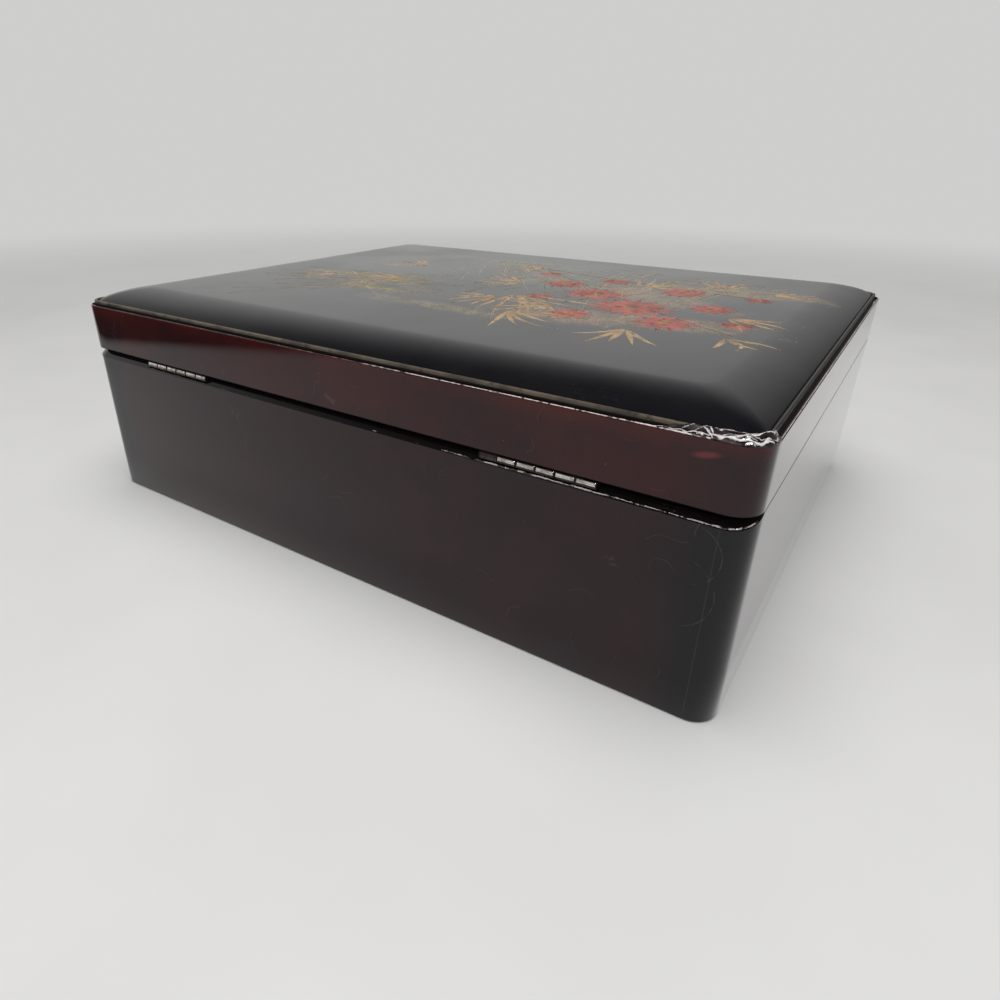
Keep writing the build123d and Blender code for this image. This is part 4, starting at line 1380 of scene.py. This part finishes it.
# %% [markdown]
# ## Hinge knuckles
# From outside, only the hinges' barrels show. The middle of each knuckle is bright, and the gaps between the
# knuckles are dark, with painted shade and some tarnish. Each bright middle is a thin sleeve round the
# model's
# knuckle: a short profile spun about the pin, with painted shade above and below a band just over the pin's
# height. The model's own leaves, in the next step, get the dark finish of tarnish and painted shade. One
# knuckle has gone dull all over, so it has no sleeve.

# %% Bright sleeves on the knuckles
knuckle_radius = 2.0 * MM
knuckle_count = 6
sleeve_steps = 40


def sleeve(start, end):
    """Points of a sleeve along X: radius grows by a few hundredths and turns in at both ends."""
    rim = 0.35 * MM
    half = np.array([(0.0, -0.10), (0.0, 0.0), (0.3 * rim, 0.05), (rim, 0.08)])
    place = np.concatenate([start + half[:, 0], (end - half[:, 0])[::-1]])[:, None]
    radius = knuckle_radius + np.concatenate([half[:, 1], half[::-1, 1]])[:, None] * MM
    angle = full_turn(sleeve_steps)
    y, z = hinge_y + radius * np.cos(angle), hinge_z + radius * np.sin(angle)
    return np.stack([place + 0 * angle, y, z], 2)


def knuckle_sleeves(name, low, high, indices, body, seed):
    """Joined sleeves for some knuckles of one hinge, each a little shorter or longer than the next."""
    pitch = (high - low) / knuckle_count
    rng = np.random.default_rng(seed)
    points, faces = [], []
    for index in indices:
        # Painted shade: the dark ends of each knuckle, between the sleeves.
        shaded_ends = rng.uniform(0.40, 0.75, 2) * MM
        ring = sleeve(low + index * pitch + shaded_ends[0], low + (index + 1) * pitch - shaded_ends[1])
        faces.append(grid_faces(len(ring), sleeve_steps, True, True) + sum(len(p) for p in points))
        points.append(ring.reshape(-1, 3))
    add_solid(name, np.concatenate(points), np.concatenate(faces), hinge_metal, body, "hinge_metal", 50)


for side, (low, high), on_lid in zip(("left", "right"), hinge_ends, ((1, 3), (1, 3, 5))):
    knuckle_sleeves(side + "_base_knuckle_sleeves", low, high, (0, 2, 4), "case", 71)
    knuckle_sleeves(side + "_lid_knuckle_sleeves", low, high, on_lid, "lid", 73)
print("knuckle sleeves on", len(hinge_ends), "hinges")

# %% [markdown]
# ## Finishes for the model's own pieces
# Pieces whose shape needs nothing more keep their mesh from the construction model and only get a
# finish: the wood inside, the hinge leaves with their knuckles, the pins, screws, eyes and nuts.

# %% Finish the carried-over pieces
def finish_for(node):
    """The material of a piece that keeps the construction model's shape."""
    if "leaf_screws" in node:
        return screw_steel
    if "leaf" in node or "hinge_pin" in node:
        return hinge_tarnish_and_shade
    if "pull" in node:
        return pull_brass
    if node == "crown_bead":
        return bead_gilt
    if node in ("well_left_divider", "well_right_divider") or node.endswith("drawer_back"):
        return wood_across
    if "board" in node and node != "bottom_board" or "rail" in node or "stile" in node:
        return body_lacquer
    return wood_deep


for name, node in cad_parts.items():
    node.data.materials.clear()
    node.data.materials.append(finish_for(name))
print("finished", len(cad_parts), "carried-over pieces")

# %% [markdown]
# ## Floor and light
# A dark glossy object shows its surroundings more than its own colour, so the surroundings matter more than
# the lamps. A pale floor, a pale even sky for the wall behind, one broad lamp overhead and a smaller
# one behind the camera for the thin bright lines along the edges. Further out, the floor fades into the sky's
# own grey, so that no horizon shows.

# %% Haze
haze_grey = (0.62, 0.62, 0.612)


def shaded_wall(nodes, heading_x):
    """Strength of the surroundings: in reflections they are dimmer towards -X, as beside a shaded wall."""
    shade = nodes.ramp(heading_x, -0.35, 0.35, 0.22, 1.0)
    return nodes.math("MAXIMUM", shade, nodes.add("ShaderNodeLightPath").outputs["Is Camera Ray"])


# %% Floor
def make_floor_finish():
    """Matt near-white; further out, and for one dim patch in reflections, it is the haze that one sees."""
    finish = Finish("floor", roughness=0.85)
    tone = finish.mix(finish.ramp(finish.noise(6, 3), 0.3, 0.7), (0.74, 0.735, 0.73), (0.78, 0.775, 0.77))
    finish.feed("Base Color", tone)
    ray = finish.add("ShaderNodeLightPath").outputs
    seen = finish.math("MAXIMUM", ray["Is Camera Ray"], ray["Is Glossy Ray"])
    towards_corner = finish.math("ADD", finish.times(finish.x, 0.38), finish.times(finish.y, 0.92))
    dim = finish.times(ray["Is Glossy Ray"], finish.ramp(towards_corner, 0.495, 0.55))
    heading = finish.add("ShaderNodeVectorMath", {"operation": "NORMALIZE"}, i0=finish.place)
    heading_x = finish.add("ShaderNodeSeparateXYZ", Vector=heading.outputs[0]).outputs["X"]
    strength = finish.times(shaded_wall(finish, heading_x), finish.less(finish.times(dim, 0.93)))
    haze = finish.add("ShaderNodeEmission", Color=haze_grey, Strength=strength).outputs[0]
    far = finish.ramp(finish.length(finish.place), 0.45, 1.9)
    cover = finish.times(seen, finish.math("MAXIMUM", far, dim))
    blend = finish.add("ShaderNodeMixShader", i0=cover, i1=finish.shader.outputs[0], i2=haze).outputs[0]
    finish.fill(finish.tree.nodes["Material Output"].inputs["Surface"], blend)
    return finish.material


floor_half = 6.0
floor_mesh = bpy.data.meshes.new("floor")
corners = [(sx * floor_half, sy * floor_half, 0) for sx, sy in ((-1, -1), (1, -1), (1, 1), (-1, 1))]
floor_mesh.from_pydata(corners, [], [(0, 1, 2, 3)])
floor_mesh.materials.append(make_floor_finish())
floor = bpy.data.objects.new("floor", floor_mesh)
scene.collection.objects.link(floor)
print("floor laid,", 2 * floor_half, "metres wide")


# %% World
def make_world():
    """Pale round the horizon and dim overhead, with the shaded wall in its reflections."""
    world = bpy.data.worlds.new("world")
    world.use_nodes = True
    scene.world = world
    sky = Nodes(world.node_tree)
    direction = sky.add("ShaderNodeTexCoord").outputs["Generated"]
    split = sky.add("ShaderNodeSeparateXYZ", Vector=direction).outputs
    overhead_fade = sky.ramp(split["Z"], 0.34, 0.84, 1.0, 0.08)
    background = sky.tree.nodes["Background"]
    sky.fill(background.inputs["Color"], haze_grey)
    sky.fill(background.inputs["Strength"], sky.times(overhead_fade, shaded_wall(sky, split["X"])))


make_world()
print("sky grey", haze_grey[0])


# %% Lamps
def add_lamp(name, place, size, power):
    """A square area lamp at a place, aimed at the middle of the case."""
    data = bpy.data.lights.new(name, "AREA")
    data.shape = "SQUARE"
    data.size = size
    data.energy = power
    lamp = bpy.data.objects.new(name, data)
    aim = np.array(place) - (0, 0, 0.1)
    aim = aim / np.linalg.norm(aim)
    side = np.cross([0, 0, 1], aim)
    side /= np.linalg.norm(side)
    axes = np.array([side, np.cross(aim, side), aim]).T
    lamp.matrix_world = Matrix.Translation(place) @ Matrix(axes.tolist()).to_4x4()
    scene.collection.objects.link(lamp)
    return lamp


overhead = add_lamp("overhead", (-0.15, 0.15, 1.9), 1.5, 27.5)
overhead.visible_glossy = False
behind_camera = add_lamp("behind_camera", (-0.75, 1.25, 1.15), 0.32, 9)
scene.view_settings.view_transform = "Standard"
print("lamps:", overhead.name, behind_camera.name)
